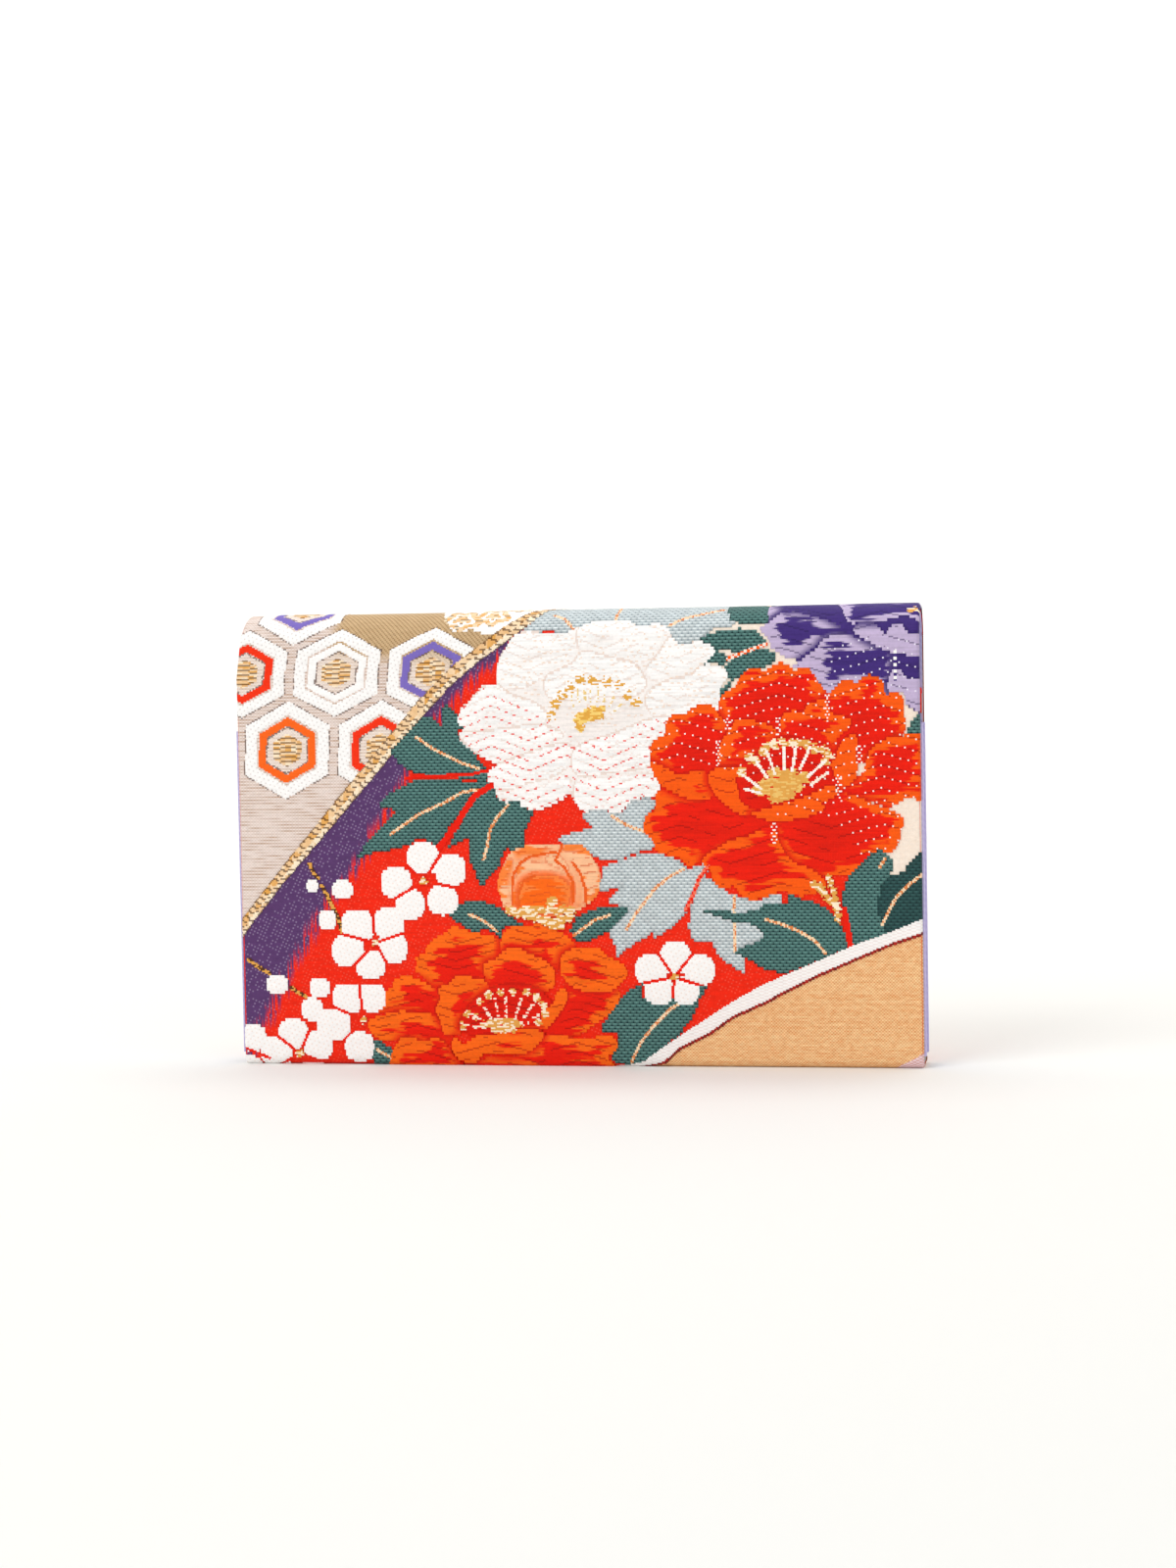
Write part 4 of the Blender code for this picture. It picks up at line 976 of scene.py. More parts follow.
# %% Third dark leaf with its stem
weave_leaf(
    ("-25.8 89, -30 88, -33.5 83.5, -36 79, -40 72, -41.5 69.8, -37 71.8, -33.5 73.2, -34.3 70, "
     "-33.5 65, -31.5 60.5, -29.9 57.8, -28 61, -25 63.5, -23.5 67, -21 71, -20.5 69.5, -16.5 70, "
     "-16 74, -14.5 78, -13.2 81.3, -16 83, -18.5 85.3, -22 84.3, -25 87"),
    ["-21 83.7, -24.5 80, -27 76, -28 71, -29.3 66.3"],
    TEAL, TEAL_GAP, "leaves_dark", 90,
)
LEFT_STEM = "-26.3 90, -32 86.5, -35.5 81.5, -38 77.5, -41.5 73, -44.5 69.5"
weave_line(LEFT_STEM, 2.0, RED_DEEP, RED_DEEP, "leaves_dark", 0.3)
print("cells of the dark leaves:", paper.count("leaves_dark"))

# %% [markdown]
# ## Red peonies
#
# The two red flowers change shade from heart to rim in steps of thread, like flames. A smooth blend would be
# easy on the paper, but a loom can only change thread, so a zigzag decides where each shade ends.

# %% Right red peony
RIGHT_HEART = (67.0, 90.0)
RIGHT_PETALS = [
    ("47 105, 46.8 113.5, 47.3 116.5, 49 118.5, 52.5 120.5, 54 123.5, 57 126, 60 126, 61.5 124.5, "
     "63 126, 66 127.5, 69 127, 71 125, 73 126.3, 75.5 126, 77 124, 78.5 121.5, 80.5 119, 81.5 116, "
     "80 110, 74 108, 67 106, 64 102, 55 102", 0.7),
    ("81 116, 82 118, 84 120, 86.5 122, 88.5 122.3, 90.3 120.8, 92 122.5, 94 123.5, 97 123, 98.8 121, "
     "99.5 117.5, 102 118, 104.3 117, 105 114.5, 105 111, 105.7 108, 104.8 105, 101 100, 93 96, 86 96, "
     "82 100, 79 105, 79 112", 0.72),
    ("85 84, 92 84.5, 98 82.5, 101 82.5, 106 85, 112 85.5, 112 103.5, 108 105, 105 104.5, 101 104, "
     "97 102, 94.5 100, 93 96, 92 93, 88 90, 84 87", 0.66),
    ("25 96.5, 25.2 102, 28 105, 30 106, 30.2 109.5, 33 112.3, 36.5 112, 38.5 113.8, 42.5 115.2, "
     "45.5 114, 47.5 111, 50 108, 52 104, 52 98, 48 92, 44 90, 38 88, 31 90, 27 95", 0.7),
    ("26.5 86, 28 88, 33 87, 38 88, 44 88, 52 84, 60 81, 66 80, 66 73, 62 72, 55 70, 46 67, 43 64, "
     "40 65, 37 64, 34 66.5, 30 67.5, 26.5 69, 25.3 72, 22.5 75, 22.6 78, 24 80.5, 26.5 82", 0.66),
    ("64 80, 65 72, 68 66, 72 63, 77 61, 82 60.5, 88 61, 92 61.2, 95 63, 95.5 66, 98 68, 101 68.5, "
     "103 71, 103.5 74, 104.5 76.5, 104 79, 101 81, 97 82.5, 90 85.5, 84 87, 78 86, 70 84, 65 82", 0.68),
    ("41 65, 43 68, 47 70, 50 72, 56 73.5, 61 76, 64 76.5, 65 73, 66 70, 68 67, 70 65, 75 63, 78 61, "
     "80 58, 78 56, 73 54.5, 69 55, 67 56, 63 55, 60 53.8, 56 53.3, 53 55, 51 57.5, 47 57, 44.5 59, "
     "43.8 62", 0.66),
    ("25.2 97, 26 93, 28 90, 31 88, 35 86, 40 84.5, 44 85.5, 45 88, 43.8 91, 43.5 93, 40 94, 34 93, "
     "30 95", 0.15),
    ("66.5 107, 67 111, 70 112.5, 74 112.5, 75 114.5, 78 115.5, 81 115.5, 81.5 113, 84 111, 88 110, "
     "88 107, 86 105.5, 84 103, 84.5 100, 78 97, 72 100, 66.5 103", 0.55),
    ("46.5 97, 47.2 102, 49 105, 51 107.5, 52 109.5, 56 110, 60 109, 63 108, 65.5 106, 66.5 103, "
     "66 100, 60 98, 54 95, 51 92, 47 94", 0.6),
    ("54 84, 51 89, 52 94, 56 97, 60 100, 66 104, 72 104, 79 102, 84 98, 84.5 91, 81 87, 74 84, 66 82, "
     "60 81", 2.0),
    ("43.5 91, 44 93.5, 47 95, 50 95.5, 53 95, 53.5 93, 52 91, 53 87, 53 85, 55 83, 58 81.5, 60 80.5, "
     "56 79.5, 52 81, 48 84, 45 87.5", 0.0),
    ("82 96, 84 98, 84.5 101, 87 104, 90 105, 90.3 101, 90 97, 90.5 94, 89.5 91, 86 88, 83.5 85.5, "
     "84 90, 83 93", 0.0),
    ("57 80.5, 62 82, 67 83.5, 72 85, 76 86.5, 80 88.5, 83 89, 84.5 87, 82 85, 79 83.5, 80 82, 75 79.5, "
     "70 78.5, 64 78, 60 79", 0.0),
]


weave_flower(RIGHT_PETALS, RIGHT_HEART, RED_DEEP, ORANGE, "peony_red_right", 0.22, 300)
DOTTED = flat("20 97, 20 132, 112 132, 112 60, 84 58, 92 66, 84 78, 62 80, 62 84, 60 92, 44 94")
weave_dots(DOTTED, dyed(255, 240, 232), "peony_red_right")


def weave_columns(lines, piece):
    """Upright seams between petals: two columns of white binding points by turns."""
    for text in lines.split(";"):
        line = flat(text)
        cells = paper.window(line, 2)
        near = distance_to(cells.x, cells.h, line, closed=False)
        odd = (np.floor(cells.h / 1.0) + np.floor(cells.x / 0.75)) % 2 == 0
        on = (near < 0.8) & odd & (np.mod(cells.h, 1) < 0.5) & (cells.piece == PIECES.index(piece))
        cells.paint(on, WHITE, 0.95)


RIGHT_SEAMS = (
    "50 107, 50 110.5; 46.6 96, 46.6 103; 65.8 105, 65.8 110; 81.3 110, 81.3 117; 91 95, 91 101.5;"
    "84.5 85.5, 84.5 92; 64 71, 64 77"
)
RIGHT_MIDDLE = "59 88, 66 87, 72 89; 61 90, 68 90, 74 91.5; 64 93, 70 93; 64 85.3, 69 86"
RIGHT_ANTHERS = (
    "54 93.5; 56.5 98; 58.5 97; 61 99.8; 64.5 102; 67 102.7; 70 102.5; 74.5 102; 77.5 100.5; 79.5 100.3;"
    "81.7 98.5; 80.5 96.7; 62 101.2; 72.3 102.5"
)
RIGHT_STAMENS = (
    "60 88.3, 54.5 92.5; 62 91.8, 60 94.8, 58.7 97; 64.5 93, 63 97.5, 62 100; 67.5 94.5, 67.5 101;"
    "70 94, 70.8 98.5, 71.3 101.5; 72.5 94.5, 74.5 98.5, 75.5 101; 75 92, 79 95.5, 80.5 97; 76 89.5, 81 93;"
    "60 86.7, 55 88.2"
)
FILAMENT = dyed(255, 240, 220)
weave_columns(RIGHT_SEAMS, "peony_red_right")
weave_each(RIGHT_MIDDLE, GOLD, dyed(240, 196, 110), "peony_red_right", 3.2, 1.0, 8)
weave_each(RIGHT_ANTHERS, GOLD, GOLD_LIGHT, "peony_red_right", 2.9, 1.05, 9)
weave_each(RIGHT_STAMENS, FILAMENT, WHITE, "peony_red_right", 0.9, 1.0, 10)
print("right petals:", len(RIGHT_PETALS))

# %% [markdown]
# ## Left red peony
#
# It is woven like the right one, with its own outlines, orange threads and a finer zigzag. Mirroring the
# right flower would be less work, but on the cloth no two flowers are alike.

# %% Left red peony
LEFT_HEART = (-23.0, 13.0)
LEFT_PETALS = [
    ("-52 33, -52.5 35, -49.5 36, -48.5 38.5, -46.5 40.5, -43 42.5, -39.5 45, -37 44, -33 43, -29 42, "
     "-25.5 41, -24 38, -24 35, -28 34, -30 31, -30 28, -34 24, -40 23, -46 24, -50 28.5, -52.3 30.5", 0.56),
    ("-24 41.5, -22 44, -19 44.8, -15 45, -12 46, -8.5 44.5, -5 43, -2 41, 0 38.5, -3 36, -5 34, -6 30, "
     "-9 30, -12 32, -16 35, -20 36, -24 36", 0.6),
    ("-3 28, 4 27.5, 10 26.5, 14 24, 13 20, 10 16.5, 6 14, 2 11, -3 9, -8 9, -11 12, -9 16, -6 20, "
     "-4 24", 0.78),
    ("-5 33, -4 36, 0 38, 3 38.5, 7 38, 10 35.5, 13 34, 16 32, 16.3 29, 14 26.5, 10 24, 4 24, -2 26, "
     "-5 30", 0.5),
    ("-67.5 18, -67 20.5, -64 23.5, -60.5 25, -59.5 27.5, -56 28.8, -53 28.3, -50 27, -46 24.5, -44 22, "
     "-45 17, -50 15, -56 16, -62 17", 0.58),
    ("-68.5 13, -67.5 15, -64 16, -58 17.5, -52 17, -46 16, -43 12, -40 8, -46 6, -52 7, -57 8, -62 8, "
     "-66 9", 0.58),
    ("-30 30, -29.5 33, -26 34.5, -24 36.5, -21 38, -17.5 37.5, -15 36, -12 35, -9 33, -7 30, -8 25, "
     "-14 24, -22 24, -28 25", 0.5),
    ("-45 25, -42 26, -40 28, -38 29, -34 28.5, -30 27.5, -28 24, -30 21, -32 18, -34 15, -37 11, "
     "-40 10, -43 10, -44.5 14, -46 18, -44.5 22", 0.42),
    ("-61 3, -59 7, -57 9, -54 9, -50 7.5, -47 9, -44 8, -42 6, -40 3, -38 -2, -60 -2", 0.5),
    ("-14 12, -9 10, -3 9.5, 3 9, 10 10, 13 8, 12 5, 10 3, 12 0, 0 -2, -10 -2, -38 -2, -33 2, -24 3, "
     "-18 4, -13 7", 0.66),
    ("-38 12, -36 18, -31 23, -24 26, -16 26, -10 23, -6 18, -8 14, -14 11, -22 10, -30 9", 2.0),
    ("-11 18, -8 20, -6 24, -4 25, -3 22, -5 18, -9 13, -13 11, -19 11, -17 13, -12 14", 0.0),
    ("-40 9, -37 7, -34 9, -31 10, -26 10.5, -20 11.5, -14 12, -11 10, -14 6, -18 4, -24 3.5, -30 4, "
     "-34 1, -38 2, -41 5", 0.4),
]
LEFT_MIDDLE = "-30 13, -25 14.3, -19 13.5; -27 11.8, -21 12"
LEFT_ANTHERS = (
    "-35.5 17; -37 12.8; -33.5 16; -31.5 20.5; -28.5 22.8; -24.5 23.8; -20.5 24; -16 23.7; -13 22;"
    "-10.8 19.7; -10.3 17; -12.5 14.3"
)
LEFT_STAMENS = (
    "-30 14, -34 16.5; -28 15.5, -30.5 19.5; -25.5 16, -26.5 21.5; -22.8 16, -22.8 22; -20 15.5, -18 21.5;"
    "-18 14.5, -14 20; -17 13, -12.5 16.5; -30 12.3, -35.5 12.8"
)
weave_flower(LEFT_PETALS, LEFT_HEART, RED_DEEP, ORANGE_LEFT, "peony_red_left", 0.22, 400, rows=ZIGZAG_LEFT)
weave_each(LEFT_MIDDLE, GOLD, GOLD_LIGHT, "peony_red_left", 2.6, 1.0, 11)
weave_each(LEFT_ANTHERS, GOLD, GOLD_LIGHT, "peony_red_left", 2.4, 1.05, 12)
weave_each(LEFT_STAMENS, FILAMENT, RED_DEEP, "peony_red_left", 0.9, 0.95, 13)
print("left petals:", len(LEFT_PETALS))

# %% [markdown]
# ## Bud, stems and the large leaf
#
# The bud has three coats: peach outside, orange inside and a gold cup. The gold stems and the leaf at the
# right are woven over the peonies' lower edges.

# %% Bud
BUD_HEART = (-8.5, 50.0)
BUD_ORANGE = dyed(255, 134, 58)
BUD_SEAM = dyed(238, 96, 28)
BUD_PETALS = [
    ("-21.5 50, -24 54, -25 58, -24.5 61, -23 64, -21 68, -19 69.5, -16 70.5, -10 71.5, 0 71, 3.5 70, "
     "6 66.5, 8.2 62.5, 8 58, 6.5 55, 4 52, 1 50, -8 48", BUD_ORANGE, PEACH, 0.86, 0.24),
    ("-21.5 50, -24 54, -25 58, -24.5 61, -23 64, -20.5 66.5, -20 62, -20.5 57, -19.5 51.5",
     PEACH, BUD_ORANGE, 0.94, 0.3),
    ("-5.5 66.5, -4 70, 0 71.3, 3.5 70, 6 66.5, 8 62, 8 57.5, 6.5 54, 3.5 51.5, 3.5 56, 2.5 61, "
     "-0.5 65.5", PEACH, BUD_ORANGE, 0.94, 0.3),
    ("-19.5 52, -19.5 58, -18.5 62, -16 65.5, -11 65, -6 66, -3 64, -0.5 60, -0.5 54, -3 50, -10 49",
     PEACH, BUD_ORANGE, 0.98, 0.34),
    ("-17.5 50, -18.5 55, -16.5 59.5, -11 61, -5 60.5, -1.5 57, -3 51, -9 49",
     ORANGE_LEFT, BUD_ORANGE, 0.8, 0.4),
    ("-9 66, -6.5 68.3, -4 66.5, -2 63, -6.5 64.3", PEACH, PEACH, 0.9, 0.42),
]
ZIGZAG_BUD = (2.4, 1.6, -9.0, 9.0)
BUD_SHADE = dyed(226, 84, 24)
for number, (outline, inner, rim, rim_from, level) in enumerate(BUD_PETALS):
    thread = (inner, rim, "peony_bud", level, 500 + 7 * number, rim_from, BUD_SHADE, ZIGZAG_BUD)
    weave_petal(outline, BUD_HEART, *thread)
BUD_SEAMS = (
    "-20.2 52, -20.3 57, -19.7 61.5, -17.5 65, -14.5 67, -10 68, -6 68.5; -0.6 52.5, -0.6 59, -3 63.5, "
    "-5.8 65.7; -18 51, -18.3 55, -16.5 59.3, -13 61; 3.6 52.5, 3.4 57, 2 61.5, -0.5 65.3; -3.8 70.8, "
    "-4.6 68.5, -6 66"
)
BUD_CUP = (
    "-21.5 50, -17 48.7, -12 47.5; -16.5 50, -8 50, -1 50; -12.5 47.3, -7 46.3, -1.5 48; -8 52.5, -6.5 53;"
    "-7.5 44.8, -4.5 45"
)
for seam in BUD_SEAMS.split(";"):
    weave_line(seam, 0.9, BUD_SEAM, BUD_SEAM, "peony_bud", 0.45)
weave_each(BUD_CUP, GOLD, GOLD_LIGHT, "peony_bud", 2.6, 0.95, 14)
print("bud petals:", len(BUD_PETALS))

# %% [markdown]
# ## Right leaves
#
# Teal leaves and a few stems fill the lower right. The stems could be curves with a round profile, but they
# are floats of red and gold thread, drawn on the paper like every other line.

# %% Large leaf and stems on the right
RIGHT_LEAVES = [
    ("40.8 49.7, 50 49.5, 58 49.8, 60.5 52.3, 65 52.3, 67.5 51.8, 68.3 55.3, 71 53.8, 75 52.8, 79 51, "
     "82 48.5, 84.5 45, 86 41, 86.5 38, 82 36, 77 33.8, 70 31, 66 30.3, 61 31.2, 56 33.8, 52.5 36, "
     "50.7 36.8, 54 38.5, 57 39.5, 59.8 41.5, 57.5 45, 50 46.5",
     "61 47, 66 45.5, 71 43.5, 76 40.5, 79.5 36.5", TEAL, TEAL_GAP),
    ("95.5 68.2, 99.5 67.5, 101 63.5, 100 60.5, 98 56, 98 50, 100 42.5, 95 40.5, 88.5 38.7, 88 42, "
     "86.5 46, 85 50, 85 54, 86.3 58, 88 61.5", "98.5 66, 97 63.5", TEAL, TEAL_GAP),
    ("99 60, 103.5 61.5, 106 64, 112 67.8, 112 47.5, 105 44.5, 99.5 42.3, 96 50, 97 56",
     "109.8 60.8, 106 58, 102 54, 99 48.5, 97 44.5, 96.5 42", TEAL_DARK, TEAL_DARK_GAP),
]
for number, (outline, vein, light, gap) in enumerate(RIGHT_LEAVES):
    weave_leaf(outline, [vein], light, gap, "leaves_dark", 95 + number)
GOLD_STEM = "76 58.5, 80 55, 83 51; 81 60, 82.5 55, 83.5 50; 83.3 52, 83.7 46.5; 78 58, 81 52.5"
weave_line("85.7 50, 86.5 45, 87.5 38.5", 1.8, RED_DEEP, RED_DEEP, "leaves_dark", 0.35)
weave_line("43 64, 40 60, 38 55, 35.5 50", 1.3, RED_DEEP, dyed(250, 120, 90), "leaves_pale", 0.45)
weave_each(GOLD_STEM, GOLD, GOLD_LIGHT, "leaves_dark", 1.8, 0.7, 15)
print("right leaves:", len(RIGHT_LEAVES))

# %% [markdown]
# ## White arc
#
# A white band with a dark red edge divides the red ground from the tan one. It could be a swept ribbon,
# but it is woven with the rest, so it lies between two lines of the paper.

# %% White arc
ARC_OUTLINE = np.vstack([ARC_TOP, ARC_BOTTOM[::-1]])
cells = paper.window(ARC_OUTLINE)
floats = (np.floor(cells.h / CELL) + np.floor(cells.x / 1.5)) % 2
arc_colour = mix(WHITE, dyed(240, 226, 222), 0.6 * floats)
cells.paint(inside(cells.x, cells.h, ARC_OUTLINE), arc_colour, 0.42, "woven_arc")
weave_line(ARC_BOTTOM, 0.9, dyed(176, 40, 32), dyed(120, 30, 30), "woven_arc", 0.3)
print("arc cells:", paper.count("woven_arc"))

# %% [markdown]
# ## Plum blossoms
#
# Each blossom is five round petals with a red gap between neighbours and a gold middle. The petals are
# woven plain in white, so only their height, a faint twill and the gaps draw them.

# %% Blossoms, buds and twigs
PLUM_BLOSSOMS = [
    ("-49.2 59.3", ["-49.3 66.7 5.3", "-58.2 59 5", "-40.3 63 5", "-43 53.3 4.9", "-53.8 52 4.8"]),
    ("-65.5 39.5", ["-71.2 45 5.4", "-60.8 46 5", "-74.6 37 5.3", "-60 37.8 5", "-67.3 32.7 4.8"]),
    ("-91.5 3.5", ["-93.5 10 4.9", "-85.2 6.4 4.8", "-99.2 4 5.2", "-87.5 -2.5 4.8", "-96.5 -4 4.8"]),
    ("-70 14.6", ["-75 21.6 5", "-80 13 5.6", "-67 21.8 4.6", "-71.5 6 4.8"]),
    ("31.5 28.7", ["32 35 5", "24 31 4.9", "39.6 31 4.9", "26.6 24.6 4.6", "35 24.4 4.3"]),
    ("-112 6", ["-107 8.6 4.4", "-109 0 4.6"]),
]
PLUM_BUDS = ["-86 58 2.1 1.9", "-76 56.8 3.5 3", "-81.2 47 2.7 3.2", "-98.5 26 3.7 2.9", "-84.3 25 3.2 3.3",
             "-87 18 3.6 3.6"]
TWIGS = (
    "-86.8 65, -85.5 62, -84 60.5; -83 58, -81 54.5, -79.5 51, -77.5 47, -76.5 43;"
    "-108 34, -104.5 31.5, -101 29.5; -94 25, -91.5 23.3, -89 22"
)
weave_each(TWIGS, GOLD, GOLD_DARK, "plum_blossoms", 1.2, 0.35, 16)


SQUARENESS = 2.7


def white_petal(text):
    """Middle and reach of a petal from text: x, height, reach across and, if it differs, reach along."""
    x, z, reach_x, *reach_h = (float(n) for n in text.split())
    return x, flat(f"{x} {max(z, 0)}")[0, 1] + min(z, 0), reach_x, *reach_h


def weave_petal_white(sheet, centre_x, centre_h, reach_x, reach_h=None):
    """A round white petal, a little squared by its power, cut in steps, with a faint twill of small dots."""
    reach_h = reach_h or reach_x * 0.98
    reach = np.array([reach_x, reach_h])
    cells = sheet.window([(centre_x, centre_h) - reach, (centre_x, centre_h) + reach])
    if cells is None:
        return
    h_step = np.floor(cells.h / 1.0) + 0.5
    across, along = np.abs((cells.x - centre_x) / reach_x), np.abs((h_step - centre_h) / reach_h)
    size = (across**SQUARENESS + along**SQUARENESS) ** (1 / SQUARENESS)
    twill = (np.floor(cells.x / CELL) + 3 * np.floor(cells.h / CELL)) % 8 == 0
    swell = np.sqrt(np.clip((1 - size) * 2.5, 0, 1))
    colour = mix(WHITE, dyed(240, 218, 204), 0.5 * twill)
    cells.paint(size < 1, colour, 0.3 + 0.32 * swell - 0.03 * twill, "plum_blossoms")


WIDEST_GAP = 1.9


def weave_blossom(sheet, middle, petals):
    """Petals, then a red gap along the halfway line of each two neighbours, then a gold middle."""
    for petal in petals:
        weave_petal_white(sheet, *petal)
    ways = sorted(math.atan2(petal[1] - middle[1], petal[0] - middle[0]) for petal in petals)
    for way, later in zip(ways, [*ways[1:], ways[0] + math.tau]):
        if later - way < WIDEST_GAP:
            out = np.array([math.cos((way + later) / 2), math.sin((way + later) / 2)])
            ray = np.array(middle) + np.outer([0.8, 11.0], out)
            weave_line(ray, 1.0, RED_DEEP, RED_DEEP, "plum_blossoms", 0.2, True, sheet)
    weave_floats([middle], GOLD, GOLD_LIGHT, "plum_blossoms", 2.2, 0.75, 17, sheet)


for middle, petals in PLUM_BLOSSOMS:
    weave_blossom(paper, flat(middle)[0], [white_petal(petal) for petal in petals])
for bud in PLUM_BUDS:
    weave_petal_white(paper, *white_petal(bud))
print("pieces on the paper:", sorted({PIECES[n] for n in np.unique(paper.piece)}))

# %% [markdown]
# ## Over the fold and down the flap
#
# The picture runs on over the fold. What lies beyond can't be seen in a front view, so motifs that reach
# the ridge are closed by reflecting the last millimetres across it, and the flap carries on with the
# hexagons, the cord and a few blossoms on red.

# %% Close the motifs beyond the ridge
H_RIDGE = FOLD_HEIGHT + QUARTER * FOLD_RADIUS
ridge_row = int(round((H_RIDGE - H_PICTURE_LOW) / CELL))
CLOSED_WITHIN = 6.0
beyond = np.arange(ridge_row, paper.x.shape[0])
behind = 2 * ridge_row - 1 - beyond
lattice_and_cord = [PIECES.index(name) for name in ("woven_hexagons", "woven_cord")]
grounds = [PIECES.index(name) for name in ("woven_ground", "woven_ground_top")]
ragged = 1.5 * (weft_streaks(paper.x[beyond], paper.h[beyond], 5.0, 61) - 0.5)
reach = CLOSED_WITHIN + 2.0 * np.sin(0.35 * paper.x[beyond]) + ragged
copied = ~np.isin(paper.piece[behind], lattice_and_cord + grounds) & (paper.h[beyond] - H_RIDGE < reach)
copied &= ~np.isin(paper.piece[beyond], lattice_and_cord)
for values in (paper.colour, paper.lift, paper.piece):
    chosen = copied[..., None] if values.ndim == 3 else copied
    values[beyond] = np.where(chosen, values[behind], values[beyond])
print("cells closed beyond the ridge:", int(copied.sum()))

# %% [markdown]
# ## Paper of the flap
#
# The flap shows the same hexagons and the cord, with three blossoms. It has a sheet of its own, because it
# moves on its hinge, while the strip's measure runs on from one sheet to the other.

# %% Squared paper for the flap
flap_paper = Paper.blank(H_FOLD_END, H_FLAP_HEM + HEM_RADIUS)
weave_grounds(flap_paper)
weave_hexagons(flap_paper)
weave_cord(flap_paper)
FLAP_BLOSSOMS = [(84, 110, 13), (97, 83, 11), (58, 122, 9)]
for number, (middle_x, middle_z, size) in enumerate(FLAP_BLOSSOMS):
    middle_h = H_FOLD_END + FOLD_HEIGHT - middle_z
    ways = 0.3 * number + math.tau / 5 * np.arange(5)
    across, along = middle_x + 0.6 * size * np.cos(ways), middle_h + 0.6 * size * np.sin(ways)
    weave_blossom(flap_paper, (middle_x, middle_h), [(x, h, 0.4 * size) for x, h in zip(across, along)])
print("flap blossoms:", len(FLAP_BLOSSOMS))

# %% [markdown]
# ## From paper to mesh
#
# Each piece of the picture becomes its own mesh: a raised sheet of square faces, one for each cell, with
# walls down to the ground cloth round its rim. A displacement modifier could raise a plain sheet
# from a texture, but then every motif would be one body; here each can be picked up, recoloured and reused.

# %% Mesh helpers


def make_mesh(name, points, faces):
    """A mesh object in the scene from a list of points and a list of faces."""
    mesh = bpy.data.meshes.new(name)
    mesh.from_pydata(points, [], faces)
    mesh.update()
    obj = bpy.data.objects.new(name, mesh)
    bpy.context.scene.collection.objects.link(obj)
    return obj


def shade_round(obj, sharp_from):
    """Smooth shading, with edges kept sharp from an angle in degrees."""
    obj.data.polygons.foreach_set("use_smooth", np.ones(len(obj.data.polygons), bool))
    obj.data.set_sharp_from_angle(angle=math.radians(sharp_from))


def give_colour(obj, colours):
    """A colour for each face, the thread colour with painted shade where there is any, kept as a colour
    attribute.
    """
    attribute = obj.data.attributes.new("dye_and_shade", "FLOAT_COLOR", "FACE")
    rgba = np.concatenate([colours, np.ones((len(colours), 1))], 1)
    attribute.data.foreach_set("color", rgba.astype(np.float32).ravel())


def give_cloth_uv(obj, uv):
    """Cloth coordinates in millimetres for each point, kept as a UV map."""
    layer = obj.data.uv_layers.new(name="cloth")
    loops = np.zeros(len(obj.data.loops), int)
    obj.data.loops.foreach_get("vertex_index", loops)
    layer.data.foreach_set("uv", uv[loops].astype(np.float32).ravel())


WALL_FOOT = -0.12


def weave_piece(name, sheet, number):
    """The mesh of one piece: a square face for each of its cells and walls round the rim.

    The height of a corner is the mean of the piece's own cells round it, so floats are rounded and
    edges are upright. A rim side is any side of a cell whose neighbour is not in the piece.
    """
    mask = sheet.piece == number
    rows, columns = mask.shape
    padded = np.zeros((rows + 2, columns + 2))
    padded[1:-1, 1:-1] = mask
    lifted = np.zeros_like(padded)
    lifted[1:-1, 1:-1] = sheet.lift * mask
    count = padded[:-1, :-1] + padded[1:, :-1] + padded[:-1, 1:] + padded[1:, 1:]
    total = lifted[:-1, :-1] + lifted[1:, :-1] + lifted[:-1, 1:] + lifted[1:, 1:]
    corner_lift = total / np.maximum(count, 1)
    low_x, low_h = sheet.x[0, 0] - CELL / 2, sheet.h[0, 0] - CELL / 2
    across, along = CELL * np.arange(columns + 1), CELL * np.arange(rows + 1)
    corner_x, corner_h = np.meshgrid(low_x + across, low_h + along)
    width = columns + 1
    i, j = np.nonzero(mask)
    corner = i * width + j
    tops = np.stack([corner, corner + 1, corner + width + 1, corner + width], 1)
    solid = padded.astype(bool)
    rims = []
    for side, (di, dj) in enumerate(((-1, 0), (0, 1), (1, 0), (0, -1))):
        open_side = ~solid[i + 1 + di, j + 1 + dj]
        a, b = tops[open_side, side], tops[open_side, (side + 1) % 4]
        rims.append(np.stack([a, b, np.flatnonzero(open_side)], 1))
    rims = np.concatenate(rims)
    used, top_index = np.unique(tops, return_inverse=True)
    foot_used, foot_index = np.unique(rims[:, :2], return_inverse=True)
    foot_index = foot_index.reshape(-1, 2) + len(used)
    rim_top = np.searchsorted(used, rims[:, :2])
    walls = np.stack([foot_index[:, 0], foot_index[:, 1], rim_top[:, 1], rim_top[:, 0]], 1)
    every = np.concatenate([used, foot_used])
    x, h = corner_x.ravel()[every], corner_h.ravel()[every]
    lift = np.concatenate([corner_lift.ravel()[used], np.full(len(foot_used), WALL_FOOT)])
    faces = np.concatenate([top_index.reshape(-1, 4), walls])
    obj = make_mesh(name, on_strip(x, h, lift).tolist(), faces.tolist())
    colours = sheet.colour[i, j]
    # The walls round each piece take their cell's colour at 0.8: painted shade on the upright sides.
    give_colour(obj, np.concatenate([colours, colours[rims[:, 2]] * 0.8]))
    give_cloth_uv(obj, np.stack([x, h], 1))
    shade_round(obj, 50)
    return obj


print("each cell becomes a face of", CELL, "mm")

# %% [markdown]
# ## Every piece
#
# On the real bag the whole figure is one cloth. Here each motif of each paper is taken off as its own piece,
# so the list of pieces is walked once for the back and once for the flap.

